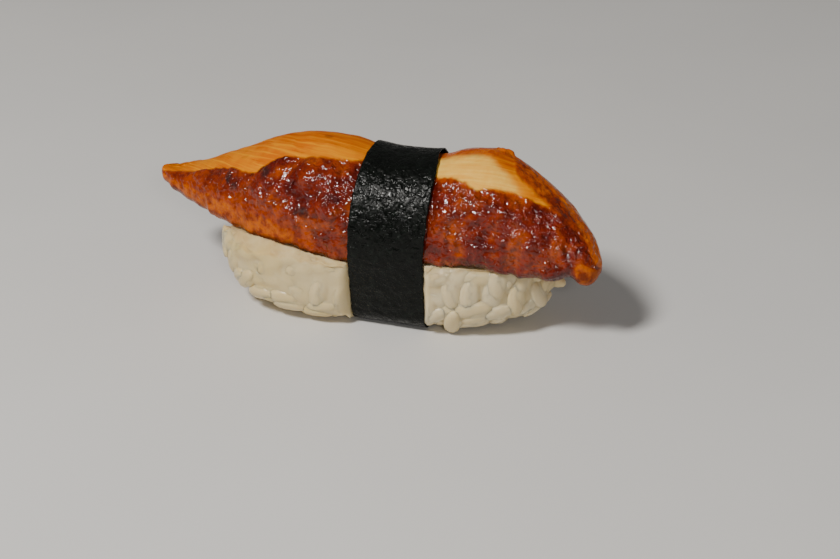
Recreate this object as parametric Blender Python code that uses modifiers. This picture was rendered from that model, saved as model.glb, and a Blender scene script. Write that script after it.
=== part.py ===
"""Eel nigiri: a glazed eel fillet laid over pressed rice, with a band of nori round both.

Metres, +Z up. +X runs along the fillet towards its blunt end and +Y towards the back. The origin is
at the bottom centre of the whole piece.
"""

import math

import bmesh
import bpy
import numpy as np
from mathutils import Matrix, Vector
from mathutils.bvhtree import BVHTree

MM = 0.001
NAME = "eel_nigiri"
SEED = 11

GAP = 0.35 * MM                # kept between two touching sub-parts
SLIVER = 0.0003 * MM           # edges shorter than this are closed up where grains meet

# Fillet: one row for each station, from the pointed tail to the blunt end, in millimetres.
# The place along X, the crest's and the rims' heights, then the front rim, crest and back rim in Y.
EEL_STATIONS = (
    (-42.9, 18.4, 17.2, 3.0, 4.7, 6.4),
    (-35.5, 20.0, 16.2, -1.4, 4.0, 8.2),
    (-26.5, 24.0, 14.8, -6.0, 3.2, 9.9),
    (-16.5, 28.4, 14.9, -10.0, 2.2, 11.0),
    (-7.5, 29.5, 14.2, -11.6, 1.3, 11.5),
    (3.0, 27.7, 13.5, -11.6, 0.9, 11.6),
    (11.0, 28.3, 14.6, -10.6, 1.5, 11.3),
    (14.5, 29.5, 14.8, -10.2, 1.7, 11.1),
    (19.5, 30.0, 14.8, -9.6, 2.0, 10.8),
    (25.0, 28.3, 14.7, -9.1, 2.0, 9.8),
    (32.5, 24.0, 14.1, -8.4, 0.2, 6.0),
    (40.5, 17.0, 13.4, -6.9, -3.6, -1.8),
)
EEL_TAIL, EEL_END = EEL_STATIONS[0][0] * MM, EEL_STATIONS[-1][0] * MM
EEL_ROUNDNESS = 2.15           # exponent of the arch: 2 is an ellipse, more is squarer
EEL_THICKNESS = 7.0 * MM       # of the flesh under the crest
RIM_THICKNESS = 2.7 * MM
HOLLOW_END = 33.0 * MM         # distance from the rice's middle at which the hollow underneath ends
TAIL_ROUND = 1.4 * MM          # length over which each end is rounded off
BLUNT_ROUND = 2.8 * MM
RELIEF = 0.50 * MM             # half height of the lumps under the glaze
RELIEF_FADE = 7.0 * MM         # length over which the relief dies away towards each end
PRESSED_MARGIN = 2.5 * MM      # width beside the band where the fillet swells out again
SCALLOP = 0.55 * MM            # half height of the waves along the rims
NUB = (39.2 * MM, 1.0 * MM, 1.4 * MM)      # place, reach and half length of the drooping corner
CRUMB = (19.6 * MM, 0.7 * MM, 1.5 * MM)    # place, height and half length of the crumb behind the crest
CRUMB_TURN = 1.9               # and how far round the arch it sits, as an angle

# Band of nori.
NORI_X = 4.8 * MM
NORI_WIDTH = 13.0 * MM
NORI_THICKNESS = 0.45 * MM
NORI_FOOT = (-9.9 * MM, 8.9 * MM)          # where its two sides reach the foot
NORI_CORNER = 2.6 * MM
NORI_SLANT = 0.6 * MM          # how far its left edge runs in over the crest

# Pressed rice, turned a little under the fillet.
RICE_X, RICE_Y = 2.1 * MM, -1.3 * MM
RICE_YAW = math.radians(5.3)
RICE_LENGTH = 58.6 * MM
RICE_FRONT, RICE_BACK = 11.3 * MM, 10.4 * MM
RICE_WAIST = 10.0 * MM         # height of its widest level
RICE_TOP = 20.0 * MM
RICE_RISE = 7.0 * MM           # how far the foot has risen where the two ends close
RICE_SQUARE = 4.2              # exponent of its sides and foot: 2 is round, more is squarer
RICE_DOME = 2.4                # exponent of its top
RICE_ENDS = (3.0, 2.2)         # exponents of its plan along the length and across
RICE_SWELL = 1.8 * MM          # width beside the band where the rice swells out again
CORE_INSET = 1.35 * MM         # how far the bare core lies inside the outline of the grains

GRAIN = (6.5 * MM, 3.3 * MM, 2.9 * MM)
GRAIN_COUNT = 160
GRAIN_SPIN, GRAIN_TIP = 1.3, 0.17          # largest turn against the outline and tip out of it, in radians
SHOWING = (2.75, 6.7)          # the part of each section, as angles, that fillet and band leave open
FOOT_SPACING = 0.72            # grains underneath lie this much sparser than those that show
GRAIN_SINK = 1.0 * MM          # depth of a grain's middle below the outline
GRAIN_TRIES = 7                # moves tried before a grain that would cross fillet or band is left out


def clear_scene():
    """Remove every object that the file opens with."""
    for thing in list(bpy.data.objects):
        bpy.data.objects.remove(thing, do_unlink=True)


def make_collection(name):
    """Return a new collection linked to the scene."""
    collection = bpy.data.collections.new(name)
    bpy.context.scene.collection.children.link(collection)
    return collection


def make_material(name, colour, roughness):
    """Return a Principled material of one colour."""
    material = bpy.data.materials.new(name)
    material.use_nodes = True
    shader = material.node_tree.nodes["Principled BSDF"]
    shader.inputs["Base Color"].default_value = (*colour, 1.0)
    shader.inputs["Roughness"].default_value = roughness
    shader.inputs["Metallic"].default_value = 0.0
    return material


def make_object(name, mesh, collection, material=None):
    """Link a mesh to a collection as a named object."""
    thing = bpy.data.objects.new(name, mesh)
    collection.objects.link(thing)
    if material:
        mesh.materials.append(material)
    return thing


def smoothstep(low, high, value):
    """Rise smoothly from 0 at low to 1 at high."""
    t = np.clip((value - low) / (high - low), 0.0, 1.0)
    return t * t * (3.0 - 2.0 * t)


def ripple(a, b, wavelength, seed):
    """Smooth uneven waves over two coordinates, between about -1 and 1."""
    total = 0.0
    for k in range(5):
        angle = 2.4 * k + 1.7 * seed
        pitch = wavelength * (1.0 + 0.23 * k)
        along = a * math.cos(angle) + b * math.sin(angle)
        total = total + np.sin(math.tau * along / pitch + 1.3 * k + 2.1 * seed)
    return total / 3.0


def station_curve(x, column):
    """A fillet dimension at x, eased through the stations' values."""
    rows = np.array(EEL_STATIONS) * MM
    places, values = rows[:, 0], rows[:, column]
    slopes = np.gradient(values, places)
    x = np.clip(x, places[0], places[-1])
    i = np.clip(np.searchsorted(places, x) - 1, 0, len(places) - 2)
    span = places[i + 1] - places[i]
    t = (x - places[i]) / span
    start = values[i] * (1 + 2 * t) * (1 - t) ** 2 + slopes[i] * span * t * (1 - t) ** 2
    return start + values[i + 1] * t * t * (3 - 2 * t) + slopes[i + 1] * span * t * t * (t - 1)


def arch_power(value):
    """A sine or cosine raised to the arch's exponent, with its sign kept."""
    return np.sign(value) * np.abs(value) ** (2.0 / EEL_ROUNDNESS)


def eel_outer(x, turn):
    """Smooth outer face of the fillet, as y and z: turn is 0 at the front rim, pi at the back rim."""
    rim, crest_z = station_curve(x, 2), station_curve(x, 1)
    crest_y = station_curve(x, 4)
    side_y = np.where(turn <= math.pi / 2, station_curve(x, 3), station_curve(x, 5))
    y = crest_y + (side_y - crest_y) * np.abs(arch_power(np.cos(turn)))
    return y, rim + (crest_z - rim) * arch_power(np.sin(turn))


def rim_thickness(x):
    """Thickness of the rims, which thin out towards the narrow ends."""
    return np.minimum(RIM_THICKNESS, 0.36 * (station_curve(x, 5) - station_curve(x, 3)))


def eel_inner(x, turn):
    """Underside of the fillet between its rims: a lower arch, flat where the fillet is thin."""
    rim = rim_thickness(x)
    y, z = eel_outer(x, turn)
    front, back = station_curve(x, 3), station_curve(x, 5)
    inset = (y - front) / (back - front)
    hollow = station_curve(x, 1) - station_curve(x, 2) - EEL_THICKNESS
    hollow = 0.5 * (hollow + np.sqrt(hollow * hollow + MM * MM))
    filled = smoothstep(HOLLOW_END - 12.0 * MM, HOLLOW_END, np.abs(x - RICE_X))
    floor = station_curve(x, 2) - 0.4 * rim * filled
    inner_y = front + rim + (back - front - 2 * rim) * inset
    return inner_y, floor + hollow * (1.0 - filled) * arch_power(np.sin(turn))


def under_nori(x, margin):
    """1 inside the band of nori, falling to 0 at a margin outside it."""
    return 1.0 - smoothstep(NORI_WIDTH / 2 + GAP, NORI_WIDTH / 2 + margin, np.abs(x - NORI_X))


def eel_loop(x, arch_steps, rim_steps, under_steps):
    """One closed section of the fillet at x, with relief on its outer face, as rows of y and z."""
    turn = np.linspace(0.0, math.pi, arch_steps)
    y, z = eel_outer(x, turn)
    free = (1.0 - under_nori(x, PRESSED_MARGIN)) * smoothstep(0.0, RELIEF_FADE, min(x - EEL_TAIL, EEL_END - x))
    normal = np.stack([np.gradient(z), -np.gradient(y)], axis=1)
    normal /= np.linalg.norm(normal, axis=1)[:, None]
    arc = np.concatenate([[0.0], np.cumsum(np.hypot(np.diff(y), np.diff(z)))])
    lumps = ripple(x, arc, 7.5 * MM, 1) + 0.8 * ripple(x, arc, 4.6 * MM, 2)
    across = (turn - CRUMB_TURN) / 0.16
    crumb = CRUMB[1] * np.exp(-((x - CRUMB[0]) / CRUMB[2]) ** 2 - across ** 2)
    lift = free * (RELIEF * lumps * np.sin(turn) ** 0.5 + crumb)
    outer = np.stack([y, z], axis=1) - normal * lift[:, None]
    inner = np.stack(eel_inner(x, np.linspace(math.pi, 0.0, under_steps)), axis=1)
    waves = free * SCALLOP * ripple(np.full(2, x), np.array([0.0, 31.0 * MM]), 8.5 * MM, 5)
    waves[0] -= NUB[1] * math.exp(-((x - NUB[0]) / NUB[2]) ** 2)
    for points in (outer, inner):
        share = smoothstep(6.0 * MM, 0.0, points[:, 1] - station_curve(x, 2))
        side = np.where(points[:, 0] < station_curve(x, 4), waves[0], waves[1])
        points[:, 1] += share * side
    back_rim = rim_arc(outer[-1], inner[0], rim_steps)
    front_rim = rim_arc(inner[-1], outer[0], rim_steps)
    return np.concatenate([outer, back_rim, inner, front_rim])


def rim_arc(start, end, steps):
    """Points of the half circle that rounds a rim off below, between two points of a section."""
    middle, reach = (start + end) / 2, np.linalg.norm(end - start) / 2
    angles = np.linspace(0.0, math.pi, steps + 2)[1:-1]
    across = (start - end) / (2 * reach)
    down = np.array([0.0, -1.0])
    return middle + reach * (np.cos(angles)[:, None] * across + np.sin(angles)[:, None] * down)


def end_shrink(x, end, length):
    """How much a section near an end keeps of its size, so that the end is rounded."""
    t = np.clip(abs(x - end) / length, 0.0, 1.0)
    return math.sqrt(max(1.0 - (1.0 - t) ** 2, 0.0))


def rounded_stations(low, high, low_round, high_round, step):
    """Places along X, closer together where the two ends are rounded."""
    turns = np.linspace(0.12, math.pi / 2, 5)
    start = low + low_round * (1.0 - np.cos(turns))
    stop = high - high_round * (1.0 - np.cos(turns[::-1]))
    middle = np.linspace(low + low_round, high - high_round, round((high - low) / step))
    return np.concatenate([start, middle[1:-1], stop])


def loft_mesh(name, loops, start, stop):
    """Close a row of loops that run the same way into a solid, with one point at each end."""
    count = len(loops[0])
    rows = np.arange(count)
    verts = np.concatenate(loops + [[start], [stop]])
    first, last = len(verts) - 2, len(verts) - 1
    faces = []
    for i in range(len(loops) - 1):
        for j, k in zip(rows + i * count, (rows + 1) % count + i * count):
            faces.append((j, k, k + count, j + count))
    for j, k in zip(rows, (rows + 1) % count):
        faces.append((first, k, j))
        base = (len(loops) - 1) * count
        faces.append((last, j + base, k + base))
    mesh = bpy.data.meshes.new(name)
    mesh.from_pydata([tuple(v) for v in verts], [], [tuple(int(n) for n in f) for f in faces])
    mesh.update()
    tidy_mesh(mesh)
    return mesh


def tidy_mesh(mesh):
    """Point the faces of a closed mesh outwards and shade it smooth."""
    edit = bmesh.new()
    edit.from_mesh(mesh)
    bmesh.ops.recalc_face_normals(edit, faces=edit.faces)
    edit.to_mesh(mesh)
    edit.free()
    mesh.shade_smooth()


def build_eel(collection):
    """The fillet: an arched loft over the rice that runs out to a tip and to a blunt drooping end."""
    loops = []
    for x in rounded_stations(EEL_TAIL, EEL_END, TAIL_ROUND, BLUNT_ROUND, 2.3 * MM):
        section = eel_loop(x, 21, 1, 8)
        keep = end_shrink(x, EEL_TAIL, TAIL_ROUND) * end_shrink(x, EEL_END, BLUNT_ROUND)
        centre = section.mean(axis=0)
        section = centre + (section - centre) * keep
        loops.append(np.column_stack([np.full(len(section), x), section]))
    start = [EEL_TAIL, *loops[0][:, 1:].mean(axis=0)]
    stop = [EEL_END, *loops[-1][:, 1:].mean(axis=0)]
    mesh = loft_mesh("eel", loops, start, stop)
    return make_object("eel", mesh, collection, make_material("eel_glaze", (0.42, 0.11, 0.025), 0.3))


def nori_loop(x, offset):
    """A loop round fillet and rice at x, an offset away from the fillet's outer face, as y and z."""
    turn = np.linspace(0.0, math.pi, 31)
    y, z = eel_outer(x, turn)
    normal = np.stack([np.gradient(z), -np.gradient(y)], axis=1)
    normal /= np.linalg.norm(normal, axis=1)[:, None]
    arch = np.stack([y, z], axis=1) - normal * offset
    foot = NORI_THICKNESS + GAP - offset
    corner = NORI_CORNER + offset
    back = np.array([NORI_FOOT[1] + offset, foot + corner])
    front = np.array([NORI_FOOT[0] - offset, foot + corner])
    sides = []
    for top, bottom in ((arch[-1], back), (front, arch[0])):
        share = np.linspace(0.0, 1.0, 5)[1:-1, None]
        sides.append(top + (bottom - top) * share)
    angles = np.linspace(0.0, math.pi / 2, 5)[:, None]
    turn_in = np.hstack([np.cos(angles), -np.sin(angles)]) * corner + back - [corner, 0.0]
    turn_out = np.hstack([-np.sin(angles), -np.cos(angles)]) * corner + front + [corner, 0.0]
    flat = np.linspace(turn_in[-1], turn_out[0], 6)[1:-1]
    return np.concatenate([arch, sides[0], turn_in, flat, turn_out, sides[1]])


def build_nori(collection):
    """The band: an open loop of sheet round the fillet and the rice, thickened outwards."""
    places = np.linspace(-NORI_WIDTH / 2, NORI_WIDTH / 2, 4) + NORI_X
    loops = [nori_loop(x, GAP) for x in places]
    count = len(loops[0])
    run_in = smoothstep(4.0, 13.0, np.arange(count)) * smoothstep(count - 1.0, 34.0, np.arange(count))
    verts = []
    for x, loop in zip(places, loops):
        slant = NORI_SLANT * (places[-1] - x) / NORI_WIDTH
        verts += [(x + slant * share, y, z) for share, (y, z) in zip(run_in, loop)]
    faces = []
    for i in range(len(places) - 1):
        for j in range(count):
            k = (j + 1) % count
            faces.append((i * count + j, i * count + k, (i + 1) * count + k, (i + 1) * count + j))
    mesh = bpy.data.meshes.new("nori")
    mesh.from_pydata(verts, [], faces)
    mesh.update()
    nori = make_object("nori", mesh, collection, make_material("nori_sheet", (0.012, 0.016, 0.013), 0.5))
    sheet = nori.modifiers.new("sheet", "SOLIDIFY")
    sheet.thickness = NORI_THICKNESS
    sheet.offset = 1.0 if mesh.polygons[0].normal.z > 0 else -1.0
    return nori


def to_world(u, v):
    """Turn the rice's own length and width into X and Y."""
    x = RICE_X + u * math.cos(RICE_YAW) - v * math.sin(RICE_YAW)
    return x, RICE_Y + u * math.sin(RICE_YAW) + v * math.cos(RICE_YAW)


def rice_outline(u, turn, inset):
    """Outline of the grains, less an inset: u along the rice, turn 0 at the back and pi at the front."""
    half = RICE_LENGTH / 2 - inset
    share = np.clip(np.abs(u) / half, 0.0, 1.0)
    fade = (1.0 - share ** RICE_ENDS[0]) ** (1.0 / RICE_ENDS[1])
    side, up = np.cos(turn), np.sin(turn)
    width = (np.where(side > 0, RICE_BACK, RICE_FRONT) - inset) * fade
    lower = (RICE_WAIST - inset - RICE_RISE * (1.0 - fade)) * np.abs(up) ** (2.0 / RICE_SQUARE)
    upper = (RICE_TOP - inset - RICE_WAIST) * fade * np.abs(up) ** (2.0 / RICE_DOME)
    v = width * np.sign(side) * np.abs(side) ** (2.0 / RICE_SQUARE)
    return v, RICE_WAIST + np.where(up > 0, upper, -lower)


def rice_point(u, turn, inset):
    """A point of that outline in world space."""
    v, z = rice_outline(u, turn, inset)
    return np.stack([*to_world(u, v), z], axis=-1)


def eel_underside(x, y):
    """Height of the fillet's lower face over each point, far up where the fillet doesn't reach."""
    front, back = station_curve(x, 3), station_curve(x, 5)
    rim, rim_z = rim_thickness(x), station_curve(x, 2)
    turn = np.linspace(0.0, math.pi, 61)[:, None]
    arch_y, arch_z = eel_inner(x[None, :], turn)
    height = np.array([np.interp(b, arch_y[:, i], arch_z[:, i]) for i, b in enumerate(y)])
    for edge in (front + rim / 2, back - rim / 2):
        across = (y - edge) / (rim / 2)
        round_z = rim_z - rim / 2 * np.sqrt(np.clip(1.0 - across ** 2, 0.0, 1.0))
        height = np.where(np.abs(across) <= 1.0, np.minimum(round_z, rim_z), height)
    outside = (y < front) | (y > back) | (x < EEL_TAIL) | (x > EEL_END)
    return np.where(outside, 1.0, height)


def roof_over(points):
    """Height that the rice may reach under the fillet, with room for its waves and for the gap."""
    reach = 1.5 * GAP
    steps = [(a, b) for a in (-reach, 0.0, reach) for b in (-reach, 0.0, reach)]
    lowest = np.min([eel_underside(points[:, 0] + a, points[:, 1] + b) for a, b in steps], axis=0)
    return lowest - GAP - (1.0 - under_nori(points[:, 0], PRESSED_MARGIN)) * SCALLOP


def press_into_band(points):
    """Fit a section of the rice to the inside of the band, where the band is round it."""
    x, y, z = points.T
    band = under_nori(x, RICE_SWELL)
    rim_z = station_curve(x, 2)
    lean = np.clip((rim_z - z) / (rim_z - NORI_CORNER), 0.0, 1.0)
    slack = 1.6 * GAP
    limits = []
    for column, foot, sign in ((3, NORI_FOOT[0], 1.0), (5, NORI_FOOT[1], -1.0)):
        rim_y = station_curve(x, column)
        limits.append(rim_y + (foot - rim_y) * lean + sign * slack)
    middle = RICE_Y
    widest = np.where(y < middle, middle - y.min(), y.max() - middle)
    room = np.where(y < middle, middle - limits[0], limits[1] - middle)
    pressed_y = middle + (y - middle) * room / widest
    beyond = np.maximum(limits[0] + NORI_CORNER - pressed_y, pressed_y - limits[1] + NORI_CORNER)
    beyond = np.clip(beyond / NORI_CORNER, 0.0, 1.0)
    floor = NORI_THICKNESS + 1.5 * GAP + NORI_CORNER * (1.0 - np.sqrt(1.0 - beyond ** 2))
    return np.stack([x, y + band * (pressed_y - y), z + band * (np.maximum(z, floor) - z)], axis=1)


def build_rice_core(collection):
    """The bare core: pressed rice that fits under the fillet and is drawn in by the band."""
    half = RICE_LENGTH / 2 - CORE_INSET
    turn = np.linspace(0.0, math.tau, 33)[:-1]
    loops = []
    for s in np.linspace(-math.pi / 2 + 0.16, math.pi / 2 - 0.16, 24):
        loop = press_into_band(rice_point(np.full(len(turn), half * math.sin(s)), turn, CORE_INSET))
        loop[:, 2] = np.minimum(loop[:, 2], roof_over(loop))
        loops.append(loop)
    tips = [loops[0].mean(axis=0), loops[-1].mean(axis=0)]
    mesh = loft_mesh("rice", loops, *tips)
    return make_object("rice", mesh, collection, make_material("rice_grain", (0.83, 0.80, 0.72), 0.4))


def grain_sites(rng):
    """Sites spread evenly over the sides and foot of the rice, as pairs of u and turn."""
    half = RICE_LENGTH / 2 - GRAIN_SINK
    places = half * np.sin(np.linspace(-1.54, 1.54, 90))
    u, turn = np.meshgrid(places, np.linspace(*SHOWING, 110), indexing="ij")
    points = rice_point(u, turn, GRAIN_SINK)
    along, around = np.gradient(points, axis=0), np.gradient(points, axis=1)
    area = np.linalg.norm(np.cross(along, around), axis=-1).ravel()
    spots = points.reshape(-1, 3)
    spacing = np.where(spots[:, 2] < 1.6 * MM, FOOT_SPACING, 1.0)
    chosen = [0]
    for _ in range(GRAIN_COUNT):
        tries = rng.choice(len(spots), size=40, p=area / area.sum())
        apart = np.linalg.norm(spots[tries][:, None] - spots[chosen][None], axis=-1).min(axis=1)
        chosen.append(int(tries[(apart * spacing[tries]).argmax()]))
    return [(u.ravel()[i], turn.ravel()[i]) for i in chosen]


def site_frame(u, turn):
    """Middle and outward, lengthwise directions of the outline at a site."""
    step_u, step_turn = 0.2 * MM, 0.02
    middle = rice_point(np.array([u]), np.array([turn]), GRAIN_SINK)[0]
    along = rice_point(np.array([u + step_u]), np.array([turn]), GRAIN_SINK)[0] - middle
    around = rice_point(np.array([u]), np.array([turn + step_turn]), GRAIN_SINK)[0] - middle
    out = Vector(np.cross(around, along)).normalized()
    heart = Vector((RICE_X, RICE_Y, RICE_WAIST))
    if out.dot(Vector(middle) - heart) < 0:
        out.negate()
    return Vector(middle), out, (Vector(along) - out * Vector(along).dot(out)).normalized()


def grain_matrix(middle, out, along, rng):
    """Place a grain flat against the outline, turned and tipped by chance."""
    spin = rng.uniform(-GRAIN_SPIN, GRAIN_SPIN)
    tip = rng.uniform(-GRAIN_TIP, GRAIN_TIP)
    across = out.cross(along)
    length = along * math.cos(spin) + across * math.sin(spin)
    length = (length * math.cos(tip) + out * math.sin(tip)).normalized()
    breadth = out.cross(length).normalized()
    depth = length.cross(breadth)
    turn = Matrix((breadth, depth, length)).transposed().to_4x4()
    return Matrix.Translation(middle) @ turn


def grain_shape(size):
    """A grain with few sides, long along Z."""
    edit = bmesh.new()
    bmesh.ops.create_uvsphere(edit, u_segments=5, v_segments=4, radius=0.5)
    bmesh.ops.scale(edit, vec=size, verts=edit.verts)
    return edit


def is_clear(edit, trees):
    """Whether a placed grain keeps the gap to the fillet and the band."""
    own = BVHTree.FromBMesh(edit)
    for tree in trees:
        if tree.overlap(own):
            return False
        for vert in edit.verts:
            spot, normal, _, distance = tree.find_nearest(vert.co)
            if distance < GAP or (vert.co - spot).dot(normal) < 0:
                return False
    return True


def build_grains(collection, others):
    """Grains over the showing rice: one that would cross fillet or band is moved, shortened or skipped."""
    rng = np.random.default_rng(SEED)
    depsgraph = bpy.context.evaluated_depsgraph_get()
    trees = [BVHTree.FromObject(thing, depsgraph) for thing in others]
    for number, (u, turn) in enumerate(grain_sites(rng)):
        middle, out, along = site_frame(u, turn)
        size = Vector((GRAIN[1], GRAIN[2], GRAIN[0])) * rng.uniform(0.95, 1.12)
        place = grain_matrix(middle, out, along, rng)
        for attempt in range(GRAIN_TRIES):
            edit = grain_shape(size)
            bmesh.ops.triangulate(edit, faces=edit.faces)
            edit.transform(place)
            if is_clear(edit, trees):
                mesh = bpy.data.meshes.new(f"grain_{number}")
                edit.to_mesh(mesh)
                edit.free()
                make_object(f"grain_{number}", mesh, collection)
                break
            edit.free()
            size = size * 0.96
            aside = math.copysign(GAP, middle.x - NORI_X) if abs(middle.x - NORI_X) < NORI_WIDTH else 0.0
            place = Matrix.Translation((aside, 0.0, -GAP)) @ place


def apply_boolean(thing, name, operation, solver, **operand):
    """Join or cut an object and keep the result as its mesh."""
    cut = thing.modifiers.new(name, "BOOLEAN")
    cut.operation = operation
    cut.solver = solver
    for key, value in operand.items():
        setattr(cut, key, value)
    depsgraph = bpy.context.evaluated_depsgraph_get()
    mesh = bpy.data.meshes.new_from_object(thing.evaluated_get(depsgraph))
    thing.modifiers.remove(cut)
    old, thing.data = thing.data, mesh
    bpy.data.meshes.remove(old)


def islands(edit):
    """The separate closed pieces of a mesh, as lists of faces."""
    left, pieces = set(edit.faces), []
    while left:
        stack = [left.pop()]
        piece = []
        while stack:
            face = stack.pop()
            piece.append(face)
            near = {other for edge in face.edges for other in edge.link_faces} & left
            left -= near
            stack.extend(near)
        pieces.append(piece)
    return pieces


def keep_largest(thing):
    """Drop loose scraps and sealed hollows, which are pieces of their own."""
    edit = bmesh.new()
    edit.from_mesh(thing.data)
    pieces = sorted(islands(edit), key=len)
    spare = [face for piece in pieces[:-1] for face in piece]
    bmesh.ops.delete(edit, geom=spare, context="FACES")
    bmesh.ops.remove_doubles(edit, verts=edit.verts, dist=SLIVER)
    bmesh.ops.triangulate(edit, faces=edit.faces)
    edit.to_mesh(thing.data)
    edit.free()


def build_board(collection):
    """The flat board that the rice was pressed on, which cuts its foot level."""
    edit = bmesh.new()
    bmesh.ops.create_cube(edit, size=1.0)
    bmesh.ops.scale(edit, vec=(0.12, 0.06, 0.02), verts=edit.verts)
    bmesh.ops.translate(edit, vec=(0.0, 0.0, -0.01), verts=edit.verts)
    mesh = bpy.data.meshes.new("board")
    edit.to_mesh(mesh)
    edit.free()
    board = make_object("board", mesh, collection)
    board.hide_render = True
    board.display_type = "WIRE"
    return board


def build_rice(collection, cutters, others):
    """The pressed rice: a bare core with the showing grains fused on and its foot pressed flat."""
    rice = build_rice_core(collection)
    grains = make_collection("grains")
    build_grains(grains, others)
    apply_boolean(rice, "grains", "UNION", "MANIFOLD", operand_type="COLLECTION", collection=grains)
    for grain in list(grains.objects):
        bpy.data.objects.remove(grain, do_unlink=True)
    bpy.data.collections.remove(grains)
    apply_boolean(rice, "board", "DIFFERENCE", "MANIFOLD", object=build_board(cutters))
    keep_largest(rice)
    return rice


def centre_on_origin(collection, things):
    """Hang the sub-parts from an empty that brings their bottom centre to the origin."""
    depsgraph = bpy.context.evaluated_depsgraph_get()
    corners = np.array([corner for thing in things for corner in thing.evaluated_get(depsgraph).bound_box])
    low, high = corners.min(axis=0), corners.max(axis=0)
    root = bpy.data.objects.new(f"{NAME}_root", None)
    collection.objects.link(root)
    root.location = (-(low[0] + high[0]) / 2, -(low[1] + high[1]) / 2, -low[2])
    for thing in things:
        thing.parent = root


def main():
    """Build the three sub-parts."""
    clear_scene()
    parts, cutters = make_collection(NAME), make_collection("cutters")
    eel, nori = build_eel(parts), build_nori(parts)
    rice = build_rice(parts, cutters, (eel, nori))
    centre_on_origin(parts, (rice, eel, nori))


main()
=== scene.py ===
"""Eel nigiri: a glazed eel fillet over pressed rice, held by a band of nori.

Metres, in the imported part's frame: +X along the fillet to its blunt end, +Y to the back, +Z up.
Each piece is a surface of two parameters, worked out as whole arrays. The forms repeat the station
curves of the part's own solids, and the relief, crinkles and single grains are added to them.
"""

import math

import bpy
import numpy as np
from bpy.props import FloatProperty, FloatVectorProperty, IntProperty, PointerProperty
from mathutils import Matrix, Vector


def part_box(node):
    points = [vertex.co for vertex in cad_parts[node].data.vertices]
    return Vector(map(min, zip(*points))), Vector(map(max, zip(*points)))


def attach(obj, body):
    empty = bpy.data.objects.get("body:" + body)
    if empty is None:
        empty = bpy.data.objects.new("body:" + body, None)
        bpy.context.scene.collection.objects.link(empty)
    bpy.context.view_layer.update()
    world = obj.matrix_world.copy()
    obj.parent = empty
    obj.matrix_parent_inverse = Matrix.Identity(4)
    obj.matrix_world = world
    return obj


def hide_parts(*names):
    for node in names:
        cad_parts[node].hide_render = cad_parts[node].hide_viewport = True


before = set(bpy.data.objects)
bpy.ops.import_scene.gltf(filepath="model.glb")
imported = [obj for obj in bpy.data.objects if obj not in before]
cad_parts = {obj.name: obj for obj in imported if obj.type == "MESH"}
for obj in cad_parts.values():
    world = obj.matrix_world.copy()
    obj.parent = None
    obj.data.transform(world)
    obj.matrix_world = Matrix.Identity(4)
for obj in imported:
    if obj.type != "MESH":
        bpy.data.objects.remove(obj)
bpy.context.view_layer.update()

bl_info = {
    "name": "Eel nigiri",
    "version": (1, 0, 0),
    "blender": (4, 5, 0),
    "location": "3D View > Sidebar > Nigiri",
    "description": "Glazed eel fillet, nori band and rice grains over the packed part",
    "category": "Object",
}

MM = 0.001
SEED = 11
GAP = 0.35 * MM                # kept between two touching pieces

# Fillet, as in the part: place along X, crest and rim heights, then front rim, crest and back rim in Y.
EEL_STATIONS = np.array((
    (-42.9, 18.4, 17.2, 3.0, 4.7, 6.4),
    (-35.5, 20.0, 16.2, -1.4, 4.0, 8.2),
    (-26.5, 24.0, 14.8, -6.0, 3.2, 9.9),
    (-16.5, 28.4, 14.9, -10.0, 2.2, 11.0),
    (-7.5, 29.5, 14.2, -11.6, 1.3, 11.5),
    (3.0, 27.7, 13.5, -11.6, 0.9, 11.6),
    (11.0, 28.3, 14.6, -10.6, 1.5, 11.3),
    (14.5, 29.5, 14.8, -10.2, 1.7, 11.1),
    (19.5, 30.0, 14.8, -9.6, 2.0, 10.8),
    (25.0, 28.3, 14.7, -9.1, 2.0, 9.8),
    (32.5, 24.0, 14.1, -8.4, 0.2, 6.0),
    (40.5, 17.0, 13.4, -6.9, -3.6, -1.8),
)) * MM
CREST_Z, RIM_Z, FRONT_Y, CREST_Y, BACK_Y = 1, 2, 3, 4, 5       # their columns
EEL_TAIL, EEL_END = EEL_STATIONS[0, 0], EEL_STATIONS[-1, 0]
EEL_ROUNDNESS = 2.15           # exponent of the arch: 2 is an ellipse, more is squarer
EEL_THICKNESS = 7.0 * MM       # of the flesh under the crest
RIM_THICKNESS = 2.7 * MM
RIM_SHARE = 0.36               # largest share of the fillet's width that a rim takes at the narrow ends
HOLLOW_END = 33.0 * MM         # distance from the rice's middle at which the hollow underneath ends
HOLLOW_FADE = 12.0 * MM        # and the stretch over which it fills up before that
TAIL_ROUND = 1.4 * MM          # length over which each end is rounded off
BLUNT_ROUND = 2.8 * MM
RELIEF = 0.50 * MM             # half height of the lumps under the glaze
RELIEF_FADE = 7.0 * MM         # length over which the lumps die away towards each end
PRESSED_MARGIN = 2.5 * MM      # width beside the band where the fillet swells out again
SCALLOP = 0.55 * MM            # half height of the waves along the rims
SCALLOP_DEEP = 6.0 * MM        # height over the rims at which those waves are gone
NUB = (39.2 * MM, 1.0 * MM, 1.4 * MM)      # place, reach and half length of the drooping corner
CRUMB = (19.6 * MM, 0.7 * MM, 1.5 * MM)    # place, height and half length of the crumb behind the crest
CRUMB_TURN = (1.9, 0.16)       # how far round the arch it sits and its half width, as angles
FINE_FADE = 2.5 * MM           # length over which the fine relief dies away towards each end
MOST_EVEN = 0.85               # largest share of the lumps that the strip and its border even out
GLAZE_TOP = 0.45 * MM          # fine relief whose stored height is 1
STORED = ("strip", "cream", "border", "char", "thin", "toast")     # the marks that the material reads
UNDER_LUMPS = 0.12 * MM        # height of the lumps underneath
BITE, BITE_DEEP = 0.42, 3.2 * MM           # the rims' bites: millimetres of height, and how far up they reach
BITE_FADE = (0.5 * MM, 4.0 * MM)           # and where they die away before each end
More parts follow.
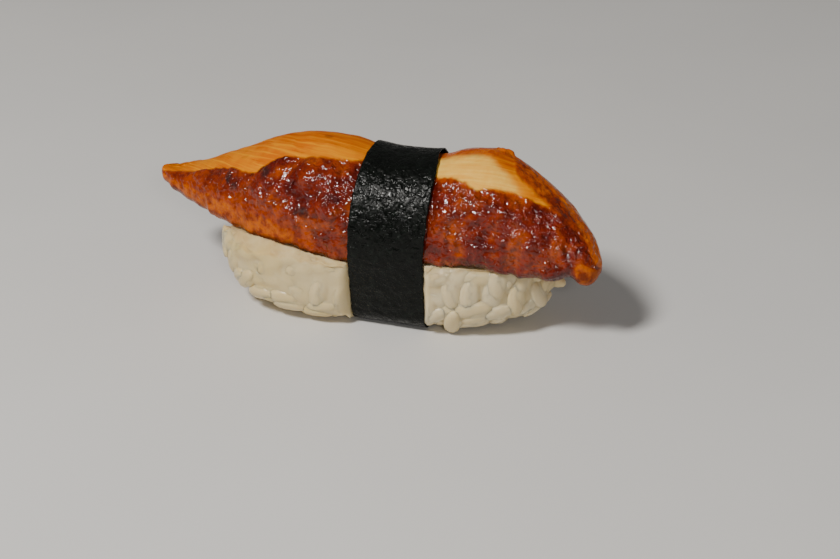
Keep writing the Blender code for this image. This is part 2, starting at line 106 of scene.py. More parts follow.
# Step along the fillet, and the points of its arch, each rim and its underside: in the part, and here.
CAD_STEPS = (2.3 * MM, 21, 1, 8)
EEL_STEPS = (0.2 * MM, 150, 8, 40)

# Lower edge of the pale strip along the crest, as place along X in millimetres and angle round the arch.
STRIP_EDGE = np.array((
    (-43.0, 0.40), (-40.5, 0.72), (-38.2, 0.92), (-32.3, 1.01), (-29.8, 1.05), (-26.3, 0.99),
    (-23.7, 0.86), (-20.7, 0.84), (-18.9, 0.94), (-17.1, 1.02), (-15.3, 1.07), (-12.4, 1.07),
    (-7.1, 1.12), (-3.9, 1.19), (-1.4, 1.29), (5.0, 1.25), (12.0, 1.08), (16.1, 0.98), (17.8, 0.90),
    (19.0, 0.84), (20.4, 0.885), (21.8, 0.93), (24.5, 0.97), (26.5, 0.98), (28.0, 1.02), (31.0, 1.07),
    (33.0, 1.32), (34.2, 1.40), (37.4, 1.22), (39.2, 0.86), (41.0, 0.60),
))
# Upper edge of its golden tongue, beyond which glaze mottles the strip as far as its brown border.
TONGUE_EDGE = np.array(((22.5, 1.75), (23.6, 1.50), (24.8, 1.29), (27.9, 1.17), (30.6, 1.11), (33.0, 1.05)))
# Lower edge of that border, in the same way.
BORDER_EDGE = np.array((
    (11.0, 1.50), (16.1, 1.45), (19.8, 1.46), (21.6, 1.60), (24.0, 1.76), (26.5, 1.74), (30.3, 1.56),
    (34.2, 1.44), (37.4, 1.19), (39.2, 0.80), (41.0, 0.40),
))
# How far along X the strip's cream part reaches, as angle round the arch and place in millimetres.
CREAM_EDGE = np.array(((0.95, 25.6), (1.08, 25.0), (1.21, 23.8), (1.30, 21.7), (1.45, 19.6), (1.60, 17.0)))
BACK_EDGE = 2.15               # angle at which the strip ends behind the crest
EDGE_SOFT, TIP_SOFT = 0.022, 0.07          # half width of its lower edge, as an angle, and what the tip adds
# Stretches along X over which a look comes in: it starts at the first place and is full at the second.
TIP = (-31.0 * MM, -37.0 * MM)             # the soft edge of the strip at the tail's tip
RIGHT = (4.0 * MM, 7.0 * MM)               # the cream and the brown border, right of the band
MOTTLE = (22.3 * MM, 24.5 * MM)            # the glaze that mottles the strip
STRIP_END = (30.0 * MM, 32.5 * MM)         # the end of the strip
TOAST = (-26.0 * MM, -17.0 * MM)           # the toasted edge of the strip
TOAST_TIP = (-36.0 * MM, -41.5 * MM)       # the toasted tip
THIN_TAIL = (-16.0 * MM, -34.0 * MM)       # thin glaze over the tail
THIN_LEFT = (-6.0 * MM, -18.0 * MM)        # along the front rim of the left part
THIN_FRONT = (9.0 * MM, -8.0 * MM)         # and along the front rim at the band
HALO, HALO_END = (5.0 * MM, 12.0 * MM), (34.0 * MM, 30.0 * MM)     # thin glaze below the strip, and its end
# Charred patches: place, angle, half length, half height as an angle, strength. Lengths are in millimetres.
CHARS = (
    (-26.3, 0.78, 0.75, 0.13, 1.0), (-24.9, 0.60, 0.9, 0.08, 0.8), (-18.5, 0.80, 0.9, 0.10, 1.0),
    (-10.3, 0.36, 1.9, 0.07, 0.9), (-9.5, 1.55, 0.9, 0.035, 0.6), (-5.5, 0.62, 1.5, 0.06, 0.5),
    (32.6, 1.26, 0.7, 0.05, 0.45), (33.9, 1.20, 0.8, 0.04, 0.4), (16.0, 0.50, 1.4, 0.06, 0.35),
    (-24.6, 1.22, 0.8, 0.04, 0.22), (-21.0, 2.55, 1.6, 0.09, 0.9), (-9.0, 2.75, 1.3, 0.07, 0.8),
    (17.0, 2.45, 1.8, 0.08, 0.9), (27.0, 2.7, 1.2, 0.09, 0.7), (-31.0, 0.45, 0.7, 0.08, 0.35),
)
# Thick drops of glaze: place, angle, radius and height, the lengths in millimetres.
DROPS = (
    (-11.3, 0.20, 0.8, 0.34), (-9.5, 0.20, 0.7, 0.28), (-6.6, 0.50, 1.5, 0.32), (-5.1, 0.40, 1.1, 0.34),
    (24.4, 0.62, 1.1, 0.28), (23.6, 0.52, 0.9, 0.24), (27.4, 0.42, 1.2, 0.30), (26.3, 0.30, 0.9, 0.28),
    (28.6, 0.30, 1.1, 0.32), (20.2, 0.26, 1.0, 0.28), (28.8, 0.12, 1.2, 0.28), (22.2, 0.06, 0.9, 0.28),
    (31.6, 0.14, 0.8, 0.26), (-14.0, 2.75, 1.1, 0.3), (22.0, 2.8, 1.2, 0.3), (-3.9, 2.5, 1.0, 0.3),
)
# Toasted crumbs behind the crest, in the same way.
CREST_CRUMBS = (
    (21.0, 1.78, 0.8, 0.45), (22.0, 1.84, 0.7, 0.60), (21.5, 1.96, 0.9, 0.40), (19.9, 1.86, 0.6, 0.25),
)
DROP_ARCH, CRUMB_ARCH = 13.0, 12.0         # millimetres round the arch to a unit of angle, at the two kinds
# Hollows of the crest, at the tail's tip and over the border: place, half length and depth in millimetres,
# and the angle from which each one deepens up to the crest.
CREST_DIPS = ((-40.0, 2.5, 0.68, 0.7), (28.5, 6.0, 0.45, 1.0))
# Rises of the front rim: place, height and half length.
NOTCHES = ((35.5 * MM, 1.3 * MM, 1.5 * MM), (38.6 * MM, 0.75 * MM, 1.3 * MM))

# Band of nori. Its place, width, foot and corners are as in the part.
NORI_X = 4.8 * MM
NORI_WIDTH = 13.0 * MM
NORI_THICKNESS = 0.45 * MM     # of the part's band, which the sheet and its overlap share
NORI_FOOT = (-9.9 * MM, 8.9 * MM)          # where its two sides reach the foot
NORI_CORNER = 2.6 * MM         # radius of its two corners there
NORI_SLANT_LEFT = 0.15 * MM    # how far the band's left edge leans inward towards the crest
NORI_SLANT_RIGHT = 1.5 * MM    # and how far its right edge does, behind the crest
NORI_FLARE_RIGHT = 0.3 * MM    # how far that edge leans outward before the crest
NORI_HIGH = (20.0 * MM, 28.0 * MM)         # heights between which the sheet comes up to the crest
NORI_BEHIND = (-7.0 * MM, 6.0 * MM)        # places in Y between which it passes from the front to the back
NORI_CLOSE = 0.16 * MM         # between the fillet and the sheet's first turn
NORI_TAUT = 0.40 * MM          # rise of the sheet's middle where it bridges the dip of the crest
NORI_OVERLAP = 0.09            # share of the loop where the sheet's end lies under its start
NORI_START = 0.615             # where on the loop the sheet starts, under the rice
NORI_STEPS = (54, 560, 241)    # points across it, along it, and round the arch of the loop that it follows
NORI_WEAR = 0.16 * MM          # unevenness of its two edges

# Pressed rice. Its outline is as in the part, down to the exponents of its ends.
RICE_X, RICE_Y = 2.1 * MM, -1.3 * MM
RICE_YAW = math.radians(5.3)
RICE_LENGTH = 58.6 * MM
RICE_FRONT, RICE_BACK = 11.3 * MM, 10.4 * MM
RICE_WAIST = 10.0 * MM         # height of its widest level
RICE_TOP = 20.0 * MM
RICE_RISE = 7.0 * MM           # how far the foot has risen where the two ends close
RICE_SQUARE = 4.2              # exponent of its sides and foot: 2 is round, more is squarer
RICE_DOME = 2.4                # exponent of its top
RICE_ENDS = (3.0, 2.2)         # exponents of its plan along the length and across
RICE_FILL = 1.5 * MM           # how much fuller its back is at the band
FILL_SPAN = (17.0 * MM, 6.5 * MM)          # distances from the band's middle over which that comes in
RICE_TUCK = 1.9 * MM           # how far the foot of its left end lies in from the top of that end
TUCK_SPAN = (-18.0 * MM, -28.0 * MM)       # places along the rice between which that comes in
TUCK_TOP = 12.0 * MM           # and the height at which it has gone
CORE_INSET = 1.5 * MM          # of the bare mass inside the outline of the grains
GRAIN_PROUD = (0.28 * MM, 0.60 * MM)       # height at which a scattered and a marked grain's top is flat
GRAIN_FLATTEN = 0.9 * MM       # and the blend there
FILM_ROUND = 0.14 * MM         # softness of the creases in the film that joins the grains
FILM_SUNK = (0.50 * MM, 0.38 * MM)         # depth of its creases, where grains show and where it is smooth
FILM_DROP = 0.06 * MM          # how far the film stays below the marked grains' tops
FILM_COVER = 0.05 * MM         # and how far it lies over the scattered grains
CORE_LUMPS = 0.08 * MM         # height of its own lumps
CORE_STEPS = (350, 230)        # its points along the rice and round it
CORE_END = 1.2 * MM            # how far it stays inside the rice's two ends
OPEN = 1.0                     # height of the roof over the rice where there is none
ROOF_REACH = 14.0 * MM         # reach in Y of the table of that roof
ROOF_STEPS = (240, 141, 121)   # its places in X and in Y, and the points taken round the fillet's underside
ROOF_GAP = 0.6 * GAP           # kept below the fillet
BROW_DROP = 0.35 * MM          # of the rice below the fillet's rims where it comes out from under them
BROW_BEVEL = (0.9 * MM, 2.3 * MM)          # depth of the steep bevel there, at the left and at the right
BROW_SPAN = (-14.0 * MM, 6.0 * MM)         # places along X between which it deepens
BROW_WIDTH = 0.8 * MM          # its width
BROW_BEND = 0.16               # fall of the brow outside it, for each square millimetre of way
BROW_REACH = 6.0 * MM          # way after which it falls no more
BROW_LUMPS = 1.0 * MM          # and the height of its lumps
STAIN_AND_SHADE_DEPTH = (0.6 * MM, 0.2 * MM)         # ways below that roof over which the fillet's sauce tints the rice and painted contact shade darkens it
BAND_LUMPS = 0.5 * MM          # height of the rice's lumps beside the band
PRESS_SOFT = 0.7 * MM          # blend where the rice meets what presses on it
BOARD_GAP = 0.02 * MM          # least height of the rice over the board
GRAIN_SPIN, GRAIN_TIP = 1.2, 0.2           # largest turn against the outline and tip out of it, in radians
BARE_SPIN = 0.6                # turn that is added where the grains show singly
GRAIN_SIZES = (0.88, 1.08)     # least and greatest share of the full size
GRAIN_SINK, BARE_RISE = 1.30, 0.10         # depth of a grain's middle in millimetres, less so where bare
SINK_SPREAD = (-0.30, 0.35)    # what is added to that, from grain to grain
GRAIN_EASE = 0.1 * MM          # how much deeper a grain is pressed than the mass that it sits in
MOST_PRESSED = (0.9 * MM, 3.2 * MM)        # largest mean and single move of a grain's points that keep it
GRAIN_RINGS, GRAIN_SIDES = 7, 10           # steps from pole to pole of a grain, and round it
SITE_STEPS = (120, 150)        # points along the rice and round it at which a scattered grain may lie
SITE_END = 1.0 * MM            # how far they stay inside the rice's two ends
SITE_TRIES = 60                # places tried for each scattered grain
DOME_REACH = 4.0 * MM          # distance along X from a grain's middle within which its dome counts
DOME_DEPTH = 2.5 * MM          # and the height or depth past which it doesn't
CLEAR_DEPTH = (1.6 * MM, 0.6 * MM)         # how far light travels in the sticky mass and in a grain
SHOWING = (2.45, 7.0)          # the part of each section, as angles, that fillet and band leave open
# Places along the rice: its grains show up to the first, it is smooth between the middle two, and past the
# last they show again.
MERGED = (-28.0 * MM, -22.0 * MM, -12.0 * MM, 7.0 * MM)
# Grains that stand out: place along the rice, angle, turn from lengthwise, size and sink. Lengths are in
# millimetres.
MARKED_GRAINS = (
    (16.2, 3.16, 1.45, 1.00, 0.75), (20.7, 3.04, 1.60, 1.05, 0.85), (16.9, 3.36, 0.06, 1.05, 0.70),
    (9.2, 3.34, 1.50, 0.85, 0.90), (13.0, 3.16, 1.75, 0.95, 0.85), (13.4, 3.72, 1.40, 0.95, 0.55),
    (23.6, 3.26, 1.50, 1.00, 0.95), (24.6, 3.06, 1.20, 0.90, 1.00), (28.0, 3.12, 1.10, 0.85, 0.70),
    (26.9, 3.40, 1.80, 0.95, 0.90), (10.6, 3.02, 0.35, 0.95, 0.95), (20.8, 3.52, 0.10, 0.95, 0.90),
    (17.4, 3.62, 0.15, 0.95, 0.90), (10.2, 3.56, 0.55, 0.90, 0.90), (-9.9, 3.28, 1.35, 1.00, 1.00),
    (-5.9, 3.36, 1.50, 0.95, 1.05), (-9.4, 3.66, 0.20, 1.00, 0.95), (-16.6, 3.62, 0.10, 1.00, 0.90),
    (-21.2, 3.72, 0.50, 0.95, 0.55), (-24.4, 3.46, 0.95, 0.95, 0.50), (-27.0, 3.22, 1.40, 0.90, 0.45),
    (-28.2, 3.00, 1.30, 0.90, 0.40), (-28.2, 2.76, 1.45, 1.05, 0.40), (-15.6, 3.86, 0.15, 1.00, 0.60),
    (-10.6, 3.92, 0.10, 0.95, 0.60), (-26.2, 3.62, 1.00, 0.90, 0.50),
)

CAMERA_AZIMUTH, CAMERA_ELEVATION = math.radians(18), math.radians(27)
CAMERA_DISTANCE = 0.38
CAMERA_TARGET = (7.26 * MM, 0.0, 5.08 * MM)
CAMERA_LENS, SENSOR_WIDTH = 93.43, 36.0    # both in millimetres
CAMERA_RANGE = (0.01, 20.0)    # nearest and farthest that it sees
FLOOR_REACH, FLOOR_STEPS = 3.0, 61         # half its side, and the points along a side
# Soft square lights: direction, distance, side and colour.
KEY_LIGHT = ((-0.27, -0.55, 0.79), 0.60, 0.11, (1.0, 0.97, 0.93))
FILL_LIGHT = ((0.40, -0.78, 0.46), 0.80, 0.09, (1.0, 0.98, 0.96))
SKY_COLOUR = (1.0, 0.98, 0.96, 1.0)


# ---------------------------------------------------------------------------------------------------
# Numbers on grids


def smoothstep(low, high, value):
    """Rise smoothly from 0 at low to 1 at high."""
    t = np.clip((value - low) / (high - low), 0.0, 1.0)
    return t * t * (3.0 - 2.0 * t)


def soft_least(first, second, width):
    """The lesser of two numbers, blended by a parabola where they differ by less than the width."""
    share = np.clip(0.5 + 0.5 * (second - first) / width, 0.0, 1.0)
    return second + (first - second) * share - width * share * (1.0 - share)


def ripple(a, b, wavelength, seed):
    """Smooth uneven waves over two coordinates: five sines in five directions, between about -1 and 1."""
    total = 0.0
    for k in range(5):
        angle = 2.4 * k + 1.7 * seed
        pitch = wavelength * (1.0 + 0.23 * k)
        along = a * math.cos(angle) + b * math.sin(angle)
        total = total + np.sin(math.tau * along / pitch + 1.3 * k + 2.1 * seed)
    return total / 3.0


def cell_numbers(cells, seed):
    """A repeatable number from 0 to 1 for each cell of a lattice, mixed from its three whole coordinates."""
    h = cells[..., 0] * 73856093 ^ cells[..., 1] * 19349663 ^ cells[..., 2] * 83492791 ^ seed * 40503
    h = (h ^ (h >> 13)) * 1274126177 & 0xFFFFFFFF
    h = (h ^ (h >> 15)) * 2246822519 & 0xFFFFFFFF
    return ((h ^ (h >> 16)) & 0xFFFFFF) / float(0xFFFFFF)


def cell_triples(cells, seed):
    """Three such numbers for each cell."""
    return np.stack([cell_numbers(cells, seed + 31 * k) for k in range(3)], axis=-1)


def waves_in_space(points, pitch, seed):
    """Gradient noise, about -0.7 to 0.7: each lattice corner has a slope, and slopes are eased together."""
    scaled = points / pitch
    cells = np.floor(scaled).astype(np.int64)
    part = scaled - cells
    ease = part ** 3 * (part * (part * 6 - 15) + 10)
    total = 0.0
    for corner in np.ndindex(2, 2, 2):
        slope = cell_triples(cells + np.array(corner), seed) * 2 - 1
        share = np.prod(np.where(np.array(corner) == 1, ease, 1 - ease), axis=-1)
        total = total + share * np.sum(slope * (part - np.array(corner)), axis=-1)
    return total


def layered(points, pitch, seed, layers=3):
    """Noise at a pitch plus finer noise at half the pitch and half the height, and so on."""
    return sum(waves_in_space(points, pitch / 2 ** k, seed + 7 * k) / 2 ** k for k in range(layers))


def pebbles(points, pitch, seed):
    """Distance to the nearest of scattered points, one to a lattice cell, in cells."""
    scaled = points / pitch
    cells = np.floor(scaled).astype(np.int64)
    nearest = np.full(points.shape[:-1], np.inf)
    for step in np.ndindex(3, 3, 3):
        cell = cells + np.array(step) - 1
        spot = cell + cell_triples(cell, seed)
        nearest = np.minimum(nearest, np.linalg.norm(spot - scaled, axis=-1))
    return nearest


def unit(vectors):
    """Vectors brought to length 1, and a zero vector as it is."""
    return vectors / np.maximum(np.linalg.norm(vectors, axis=-1, keepdims=True), 1e-12)


def grid_normals(points):
    """Unit normals of a grid closed round its second way: the cross product of its steps along and round."""
    along = np.gradient(points, axis=0)
    around = np.roll(points, -1, axis=1) - np.roll(points, 1, axis=1)
    normal = unit(np.cross(along, around))
    centre = points.mean(axis=1, keepdims=True)
    outward = np.sign(np.sum(normal * (points - centre), axis=-1).mean())
    return normal * outward


def section_normals(y, z):
    """Unit normals of each section's curve in Y and Z, pointing inward: its step, turned by a quarter."""
    return unit(np.stack([np.gradient(z, axis=1), -np.gradient(y, axis=1)], axis=-1))


def fill_mesh(name, verts, quads, tris=()):
    """A mesh from arrays of points, four-sided faces and triangles."""
    mesh = bpy.data.meshes.new(name)
    mesh.vertices.add(len(verts))
    mesh.vertices.foreach_set("co", np.asarray(verts, np.float32).ravel())
    corners = np.concatenate([np.ravel(quads), np.ravel(tris)]).astype(np.int32)
    mesh.loops.add(len(corners))
    mesh.loops.foreach_set("vertex_index", corners)
    starts = np.concatenate([np.arange(len(quads)) * 4, len(quads) * 4 + np.arange(len(tris)) * 3])
    mesh.polygons.add(len(starts))
    mesh.polygons.foreach_set("loop_start", starts.astype(np.int32))
    mesh.update(calc_edges=True)
    mesh.validate()
    mesh.shade_smooth()
    return mesh


def grid_faces(rows, columns, closed):
    """Quads of a grid, row by row. Closed joins the last column to the first."""
    i, j = np.meshgrid(np.arange(rows - 1), np.arange(columns if closed else columns - 1), indexing="ij")
    k = (j + 1) % columns
    quads = [i * columns + j, i * columns + k, (i + 1) * columns + k, (i + 1) * columns + j]
    return np.stack(quads, axis=-1).reshape(-1, 4)


def pole_faces(rows, columns):
    """Triangles from a closed grid's end rings to its poles, the two points that follow the grid's own."""
    j = np.arange(columns)
    k = (j + 1) % columns
    pole, last_ring = rows * columns, (rows - 1) * columns
    return np.concatenate([
        np.stack([np.full(columns, pole), k, j], axis=-1),
        np.stack([np.full(columns, pole + 1), last_ring + j, last_ring + k], axis=-1),
    ])


def outward_faces(grid):
    """Quads and polar triangles of a closed grid, turned round where they would face its own middle."""
    rows, columns = grid.shape[:2]
    quads, tris = grid_faces(rows, columns, True), pole_faces(rows, columns)
    facing = np.cross(grid[1:, :-1] - grid[:-1, :-1], grid[:-1, 1:] - grid[:-1, :-1])
    away = grid[:-1, :-1] - grid.mean(axis=(0, 1))
    if np.sum(facing * away) > 0:
        quads, tris = quads[:, ::-1], tris[:, ::-1]
    return quads, tris


def tube_mesh(name, grid):
    """Skin over a grid closed round its second way, with a pole in the middle of each end ring."""
    poles = [grid[0].mean(axis=0), grid[-1].mean(axis=0)]
    return fill_mesh(name, np.concatenate([grid.reshape(-1, 3), poles]), *outward_faces(grid))


def add_value(mesh, name, values, poles=True):
    """Store one number a vertex as an attribute. Poles take the mean of their ring."""
    rows = np.asarray(values, np.float32)
    flat = rows.ravel()
    if poles:
        flat = np.concatenate([flat, [rows[0].mean(), rows[-1].mean()]])
    attribute = mesh.attributes.new(name, "FLOAT", "POINT")
    attribute.data.foreach_set("value", flat.astype(np.float32))


def add_piece(name, mesh, material, nodes=()):
    """Link a mesh as a piece that rides on the body and stands for the named nodes."""
    piece = bpy.data.objects.new(name, mesh)
    bpy.context.scene.collection.objects.link(piece)
    mesh.materials.append(material)
    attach(piece, "root")
    if nodes:
        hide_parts(*nodes)
    return piece


# ---------------------------------------------------------------------------------------------------
# Form of the fillet


def station_curve(x, column):
    """A fillet dimension at x: a cubic through the stations, with the slope between each one's neighbours."""
    places, values = EEL_STATIONS[:, 0], EEL_STATIONS[:, column]
    slopes = np.gradient(values, places)
    x = np.clip(x, places[0], places[-1])
    i = np.clip(np.searchsorted(places, x) - 1, 0, len(places) - 2)
    span = places[i + 1] - places[i]
    t = (x - places[i]) / span
    start = values[i] * (1 + 2 * t) * (1 - t) ** 2 + slopes[i] * span * t * (1 - t) ** 2
    return start + values[i + 1] * t * t * (3 - 2 * t) + slopes[i + 1] * span * t * t * (t - 1)


def arch_power(value):
    """A sine or cosine raised to the arch's exponent, with its sign kept."""
    return np.sign(value) * np.abs(value) ** (2.0 / EEL_ROUNDNESS)


def eel_outer(x, turn):
    """Outer face as y and z: a squared-off half ellipse from the front rim, turn 0, to the back, pi."""
    rim, crest_z = station_curve(x, RIM_Z), station_curve(x, CREST_Z)
    crest_y = station_curve(x, CREST_Y)
    side_y = np.where(turn <= math.pi / 2, station_curve(x, FRONT_Y), station_curve(x, BACK_Y))
    y = crest_y + (side_y - crest_y) * np.abs(arch_power(np.cos(turn)))
    return y, rim + (crest_z - rim) * arch_power(np.sin(turn))


def rim_thickness(x):
    """Thickness of the rims, which thin out towards the narrow ends."""
    return np.minimum(RIM_THICKNESS, RIM_SHARE * (station_curve(x, BACK_Y) - station_curve(x, FRONT_Y)))


def eel_inner(x, turn):
    """Underside between the rims: a lower arch, flat where the fillet is thin."""
    rim = rim_thickness(x)
    y, _ = eel_outer(x, turn)
    front, back = station_curve(x, FRONT_Y), station_curve(x, BACK_Y)
    inset = (y - front) / (back - front)
    hollow = station_curve(x, CREST_Z) - station_curve(x, RIM_Z) - EEL_THICKNESS
    hollow = 0.5 * (hollow + np.sqrt(hollow * hollow + MM * MM))
    filled = smoothstep(HOLLOW_END - HOLLOW_FADE, HOLLOW_END, np.abs(x - RICE_X))
    floor = station_curve(x, RIM_Z) - 0.4 * rim * filled
    inner_y = front + rim + (back - front - 2 * rim) * inset
    return inner_y, floor + hollow * (1.0 - filled) * arch_power(np.sin(turn))


def free_share(x, start, full):
    """1 where the fillet lies free, falling to 0 under the band and over a stretch before its two ends.

    The stretch is measured from the end: the share is 0 up to start and 1 from full.
    """
    band = smoothstep(NORI_WIDTH / 2 + GAP, NORI_WIDTH / 2 + PRESSED_MARGIN, np.abs(x - NORI_X))
    return band * smoothstep(start, full, np.minimum(x - EEL_TAIL, EEL_END - x))


def rim_arcs(start, end, steps):
    """Half circles that round the rims off below, one for each section, between two of its points."""
    middle = ((start + end) / 2)[:, None]
    reach = np.linalg.norm(end - start, axis=-1)[:, None, None] / 2
    angles = np.linspace(0.0, math.pi, steps + 2)[1:-1][None, :, None]
    across = (start - end)[:, None] / (2 * reach)
    return middle + reach * (np.cos(angles) * across + np.sin(angles) * np.array([0.0, -1.0]))


def rounded_places(step):
    """Places along X, closer together where the two ends are rounded."""
    turns = np.linspace(0.12, math.pi / 2, 5 if step > MM else 12)
    start = EEL_TAIL + TAIL_ROUND * (1.0 - np.cos(turns))
    stop = EEL_END - BLUNT_ROUND * (1.0 - np.cos(turns[::-1]))
    middle = np.linspace(EEL_TAIL + TAIL_ROUND, EEL_END - BLUNT_ROUND, round((EEL_END - EEL_TAIL) / step))
    return np.concatenate([start, middle[1:-1], stop])


def end_shrink(x, end, length):
    """How much of its size a section near an end keeps: a quarter circle over the length."""
    t = np.clip(np.abs(x - end) / length, 0.0, 1.0)
    return np.sqrt(np.maximum(1.0 - (1.0 - t) ** 2, 0.0))


def eel_form(steps):
    """The part's fillet as a grid of points: outer arch, back rim, underside and front rim for each place.

    Also gives the way round the outer arch and the height of its lumps, which lift it along its normals.
    """
    step, arch_steps, rim_steps, under_steps = steps
    x = rounded_places(step)[:, None]
    turn = np.linspace(0.0, math.pi, arch_steps)[None]
    y, z = eel_outer(x, turn)
    free = free_share(x, 0.0, RELIEF_FADE)
    way = np.hypot(np.diff(y, axis=1, prepend=y[:, :1]), np.diff(z, axis=1, prepend=z[:, :1]))
    arc = np.cumsum(way, axis=1)
    lumps = ripple(x, arc, 7.5 * MM, 1) + 0.8 * ripple(x, arc, 4.6 * MM, 2)
    place, tall, half = CRUMB
    crumb = tall * np.exp(-((x - place) / half) ** 2 - ((turn - CRUMB_TURN[0]) / CRUMB_TURN[1]) ** 2)
    lift = free * (RELIEF * lumps * np.sin(turn) ** 0.5 + crumb)
    outer = np.stack([y, z], axis=-1) - section_normals(y, z) * lift[..., None]
    inner = np.stack(eel_inner(x, np.linspace(math.pi, 0.0, under_steps)[None]), axis=-1)
    waves = free * SCALLOP * ripple(x, np.array([[0.0, 31.0 * MM]]), 8.5 * MM, 5)
    waves[:, :1] -= NUB[1] * np.exp(-((x - NUB[0]) / NUB[2]) ** 2)
    for points in (outer, inner):
        share = smoothstep(SCALLOP_DEEP, 0.0, points[..., 1] - station_curve(x, RIM_Z))
        side = np.where(points[..., 0] < station_curve(x, CREST_Y), waves[:, :1], waves[:, 1:])
        points[..., 1] += share * side
    back = rim_arcs(outer[:, -1], inner[:, 0], rim_steps)
    front = rim_arcs(inner[:, -1], outer[:, 0], rim_steps)
    section = np.concatenate([outer, back, inner, front], axis=1)
    keep = end_shrink(x, EEL_TAIL, TAIL_ROUND) * end_shrink(x, EEL_END, BLUNT_ROUND)
    centre = section.mean(axis=1, keepdims=True)
    section = centre + (section - centre) * keep[..., None]
    return np.dstack([np.broadcast_to(x, section.shape[:2]), section]), arc, lift


def own_shift():
    """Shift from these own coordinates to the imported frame, which lays the part's fillet over its node."""
    form, _, _ = eel_form(CAD_STEPS)
    low, high = (np.array(corner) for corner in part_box("eel"))
    return (low + high) / 2 - (form.min(axis=(0, 1)) + form.max(axis=(0, 1))) / 2


SHIFT = own_shift()


# ---------------------------------------------------------------------------------------------------
# Marks and relief of the fillet


def table_curve(x, table):
    """Second column of a table at x, in straight steps between its rows. The first is in millimetres."""
    return np.interp(x / MM, table[:, 0], table[:, 1])


def cut_marks(x, angle, form):
    """Shares from 0 to 1 of the looks of the cut face along the crest.

    Strip is the pale face itself, cream its palest part, border the brown edge behind it, toast its orange
    edge and mottle the glaze that has run over it. Each edge is a table's curve, crossed with a smooth step.
    """
    low = table_curve(x, STRIP_EDGE)
    soft = EDGE_SOFT + TIP_SOFT * smoothstep(*TIP, x)
    right = smoothstep(*RIGHT, x)
    strip = smoothstep(low - soft, low + soft, angle) * (1 - smoothstep(-0.12, 0.12, angle - BACK_EDGE))
    border = right * smoothstep(-0.09, 0.07, angle - table_curve(x, BORDER_EDGE))
    border = border * (1 - smoothstep(-0.2, 0.2, angle - BACK_EDGE - 0.1))
    mottle = smoothstep(*MOTTLE, x) * smoothstep(-0.05, 0.07, angle - table_curve(x, TONGUE_EDGE))
    strip = strip * (1 - mottle) * (1 - border) * (1 - smoothstep(*STRIP_END, x))
    reach = np.interp(angle, CREAM_EDGE[:, 0], CREAM_EDGE[:, 1]) * MM
    past = x - reach + 1.2 * MM * waves_in_space(form, 2.5 * MM, 9)
    cream = right * smoothstep(2.0 * MM, -1.6 * MM, past)
    toast = smoothstep(1.30, 1.62, angle + 0.25 * waves_in_space(form, 3.0 * MM, 15)) * smoothstep(*TOAST, x)
    toast = toast * (1 - right) + 0.6 * smoothstep(*TOAST_TIP, x)
    toast = np.clip(toast + right * smoothstep(1.32, 1.46, angle), 0, 1)
    return strip, cream, border, toast, mottle


def patch_marks(x, turn, form):
    """Shares of charred patches and of thick drops: ellipses laid on the arch, with smooth steps as edges."""
    char = np.zeros_like(form[..., 0])
    patchy = 0.55 * layered(form, 1.3 * MM, 21)
    for place, middle, half, height, strength in CHARS:
        away = np.hypot((x / MM - place) / half, (turn - middle) / height) + patchy
        char = np.maximum(char, strength * smoothstep(1.35, 0.55, away))
    drop = np.zeros_like(char)
    rise = np.maximum(station_curve(x, CREST_Z) - station_curve(x, RIM_Z), MM)
    for place, middle, radius, _ in DROPS:
        away = np.hypot((x / MM - place) / radius, (turn - middle) / (radius / rise * MM))
        drop = np.maximum(drop, smoothstep(1.2, 0.5, away))
    return char, drop


def thin_mark(x, turn, angle, mottled, form):
    """Share of thin orange glaze: on the tail, the front rim and the drooping corner, and below the strip. At
    the drooping corner it is pushed to full, which paints that shaded corner gold as a painted highlight.

    The halo below the strip is wider at the tail's tip. Noise breaks all of it up.
    """
    low = table_curve(x, STRIP_EDGE)
    left = 0.8 * smoothstep(0.55, 0.10, turn) * smoothstep(*THIN_LEFT, x)
    front = 0.7 * smoothstep(0.22, 0.02, turn) * smoothstep(*THIN_FRONT, x)
    # Partly thin glaze, partly painted highlight: the drooping corner lies in shade underneath, and this
    # pushes it to full thin glaze and so to gold.
    corner = 2.2 * np.exp(-((x - NUB[0] + 0.3 * MM) / (2.2 * MM)) ** 2) * smoothstep(0.6, 0.15, turn)
    halo = 0.9 * smoothstep(low - 0.11, low - 0.01, angle) * smoothstep(*HALO, x) * smoothstep(*HALO_END, x)
    halo = halo + 0.85 * smoothstep(*TIP, x) * smoothstep(low - 0.34, low - 0.06, angle)
    spread = 0.38 * smoothstep(*THIN_TAIL, x) + left + front + corner + 0.5 * mottled
    return np.clip(np.maximum(spread, halo) + 0.5 * layered(form, 5.0 * MM, 13), 0, 1)


def eel_marks(x, turn, form):
    """Shares from 0 to 1 of each look over the outer arch, as a dictionary of grids.

    Noise is added to the angle round the arch first, so that every edge frays.
    """
    fray = 0.035 * layered(form, 2.2 * MM, 3) + 0.02 * waves_in_space(form, 0.7 * MM, 5)
    angle = turn + fray
    strip, cream, border, toast, mottle = cut_marks(x, angle, form)
    char, drop = patch_marks(x, turn, form)
    thin = thin_mark(x, turn, angle, mottle * (1 - border), form)
    return {
        "strip": strip, "cream": cream, "border": border,
        "char": char, "thin": thin, "drop": drop, "toast": toast,
    }


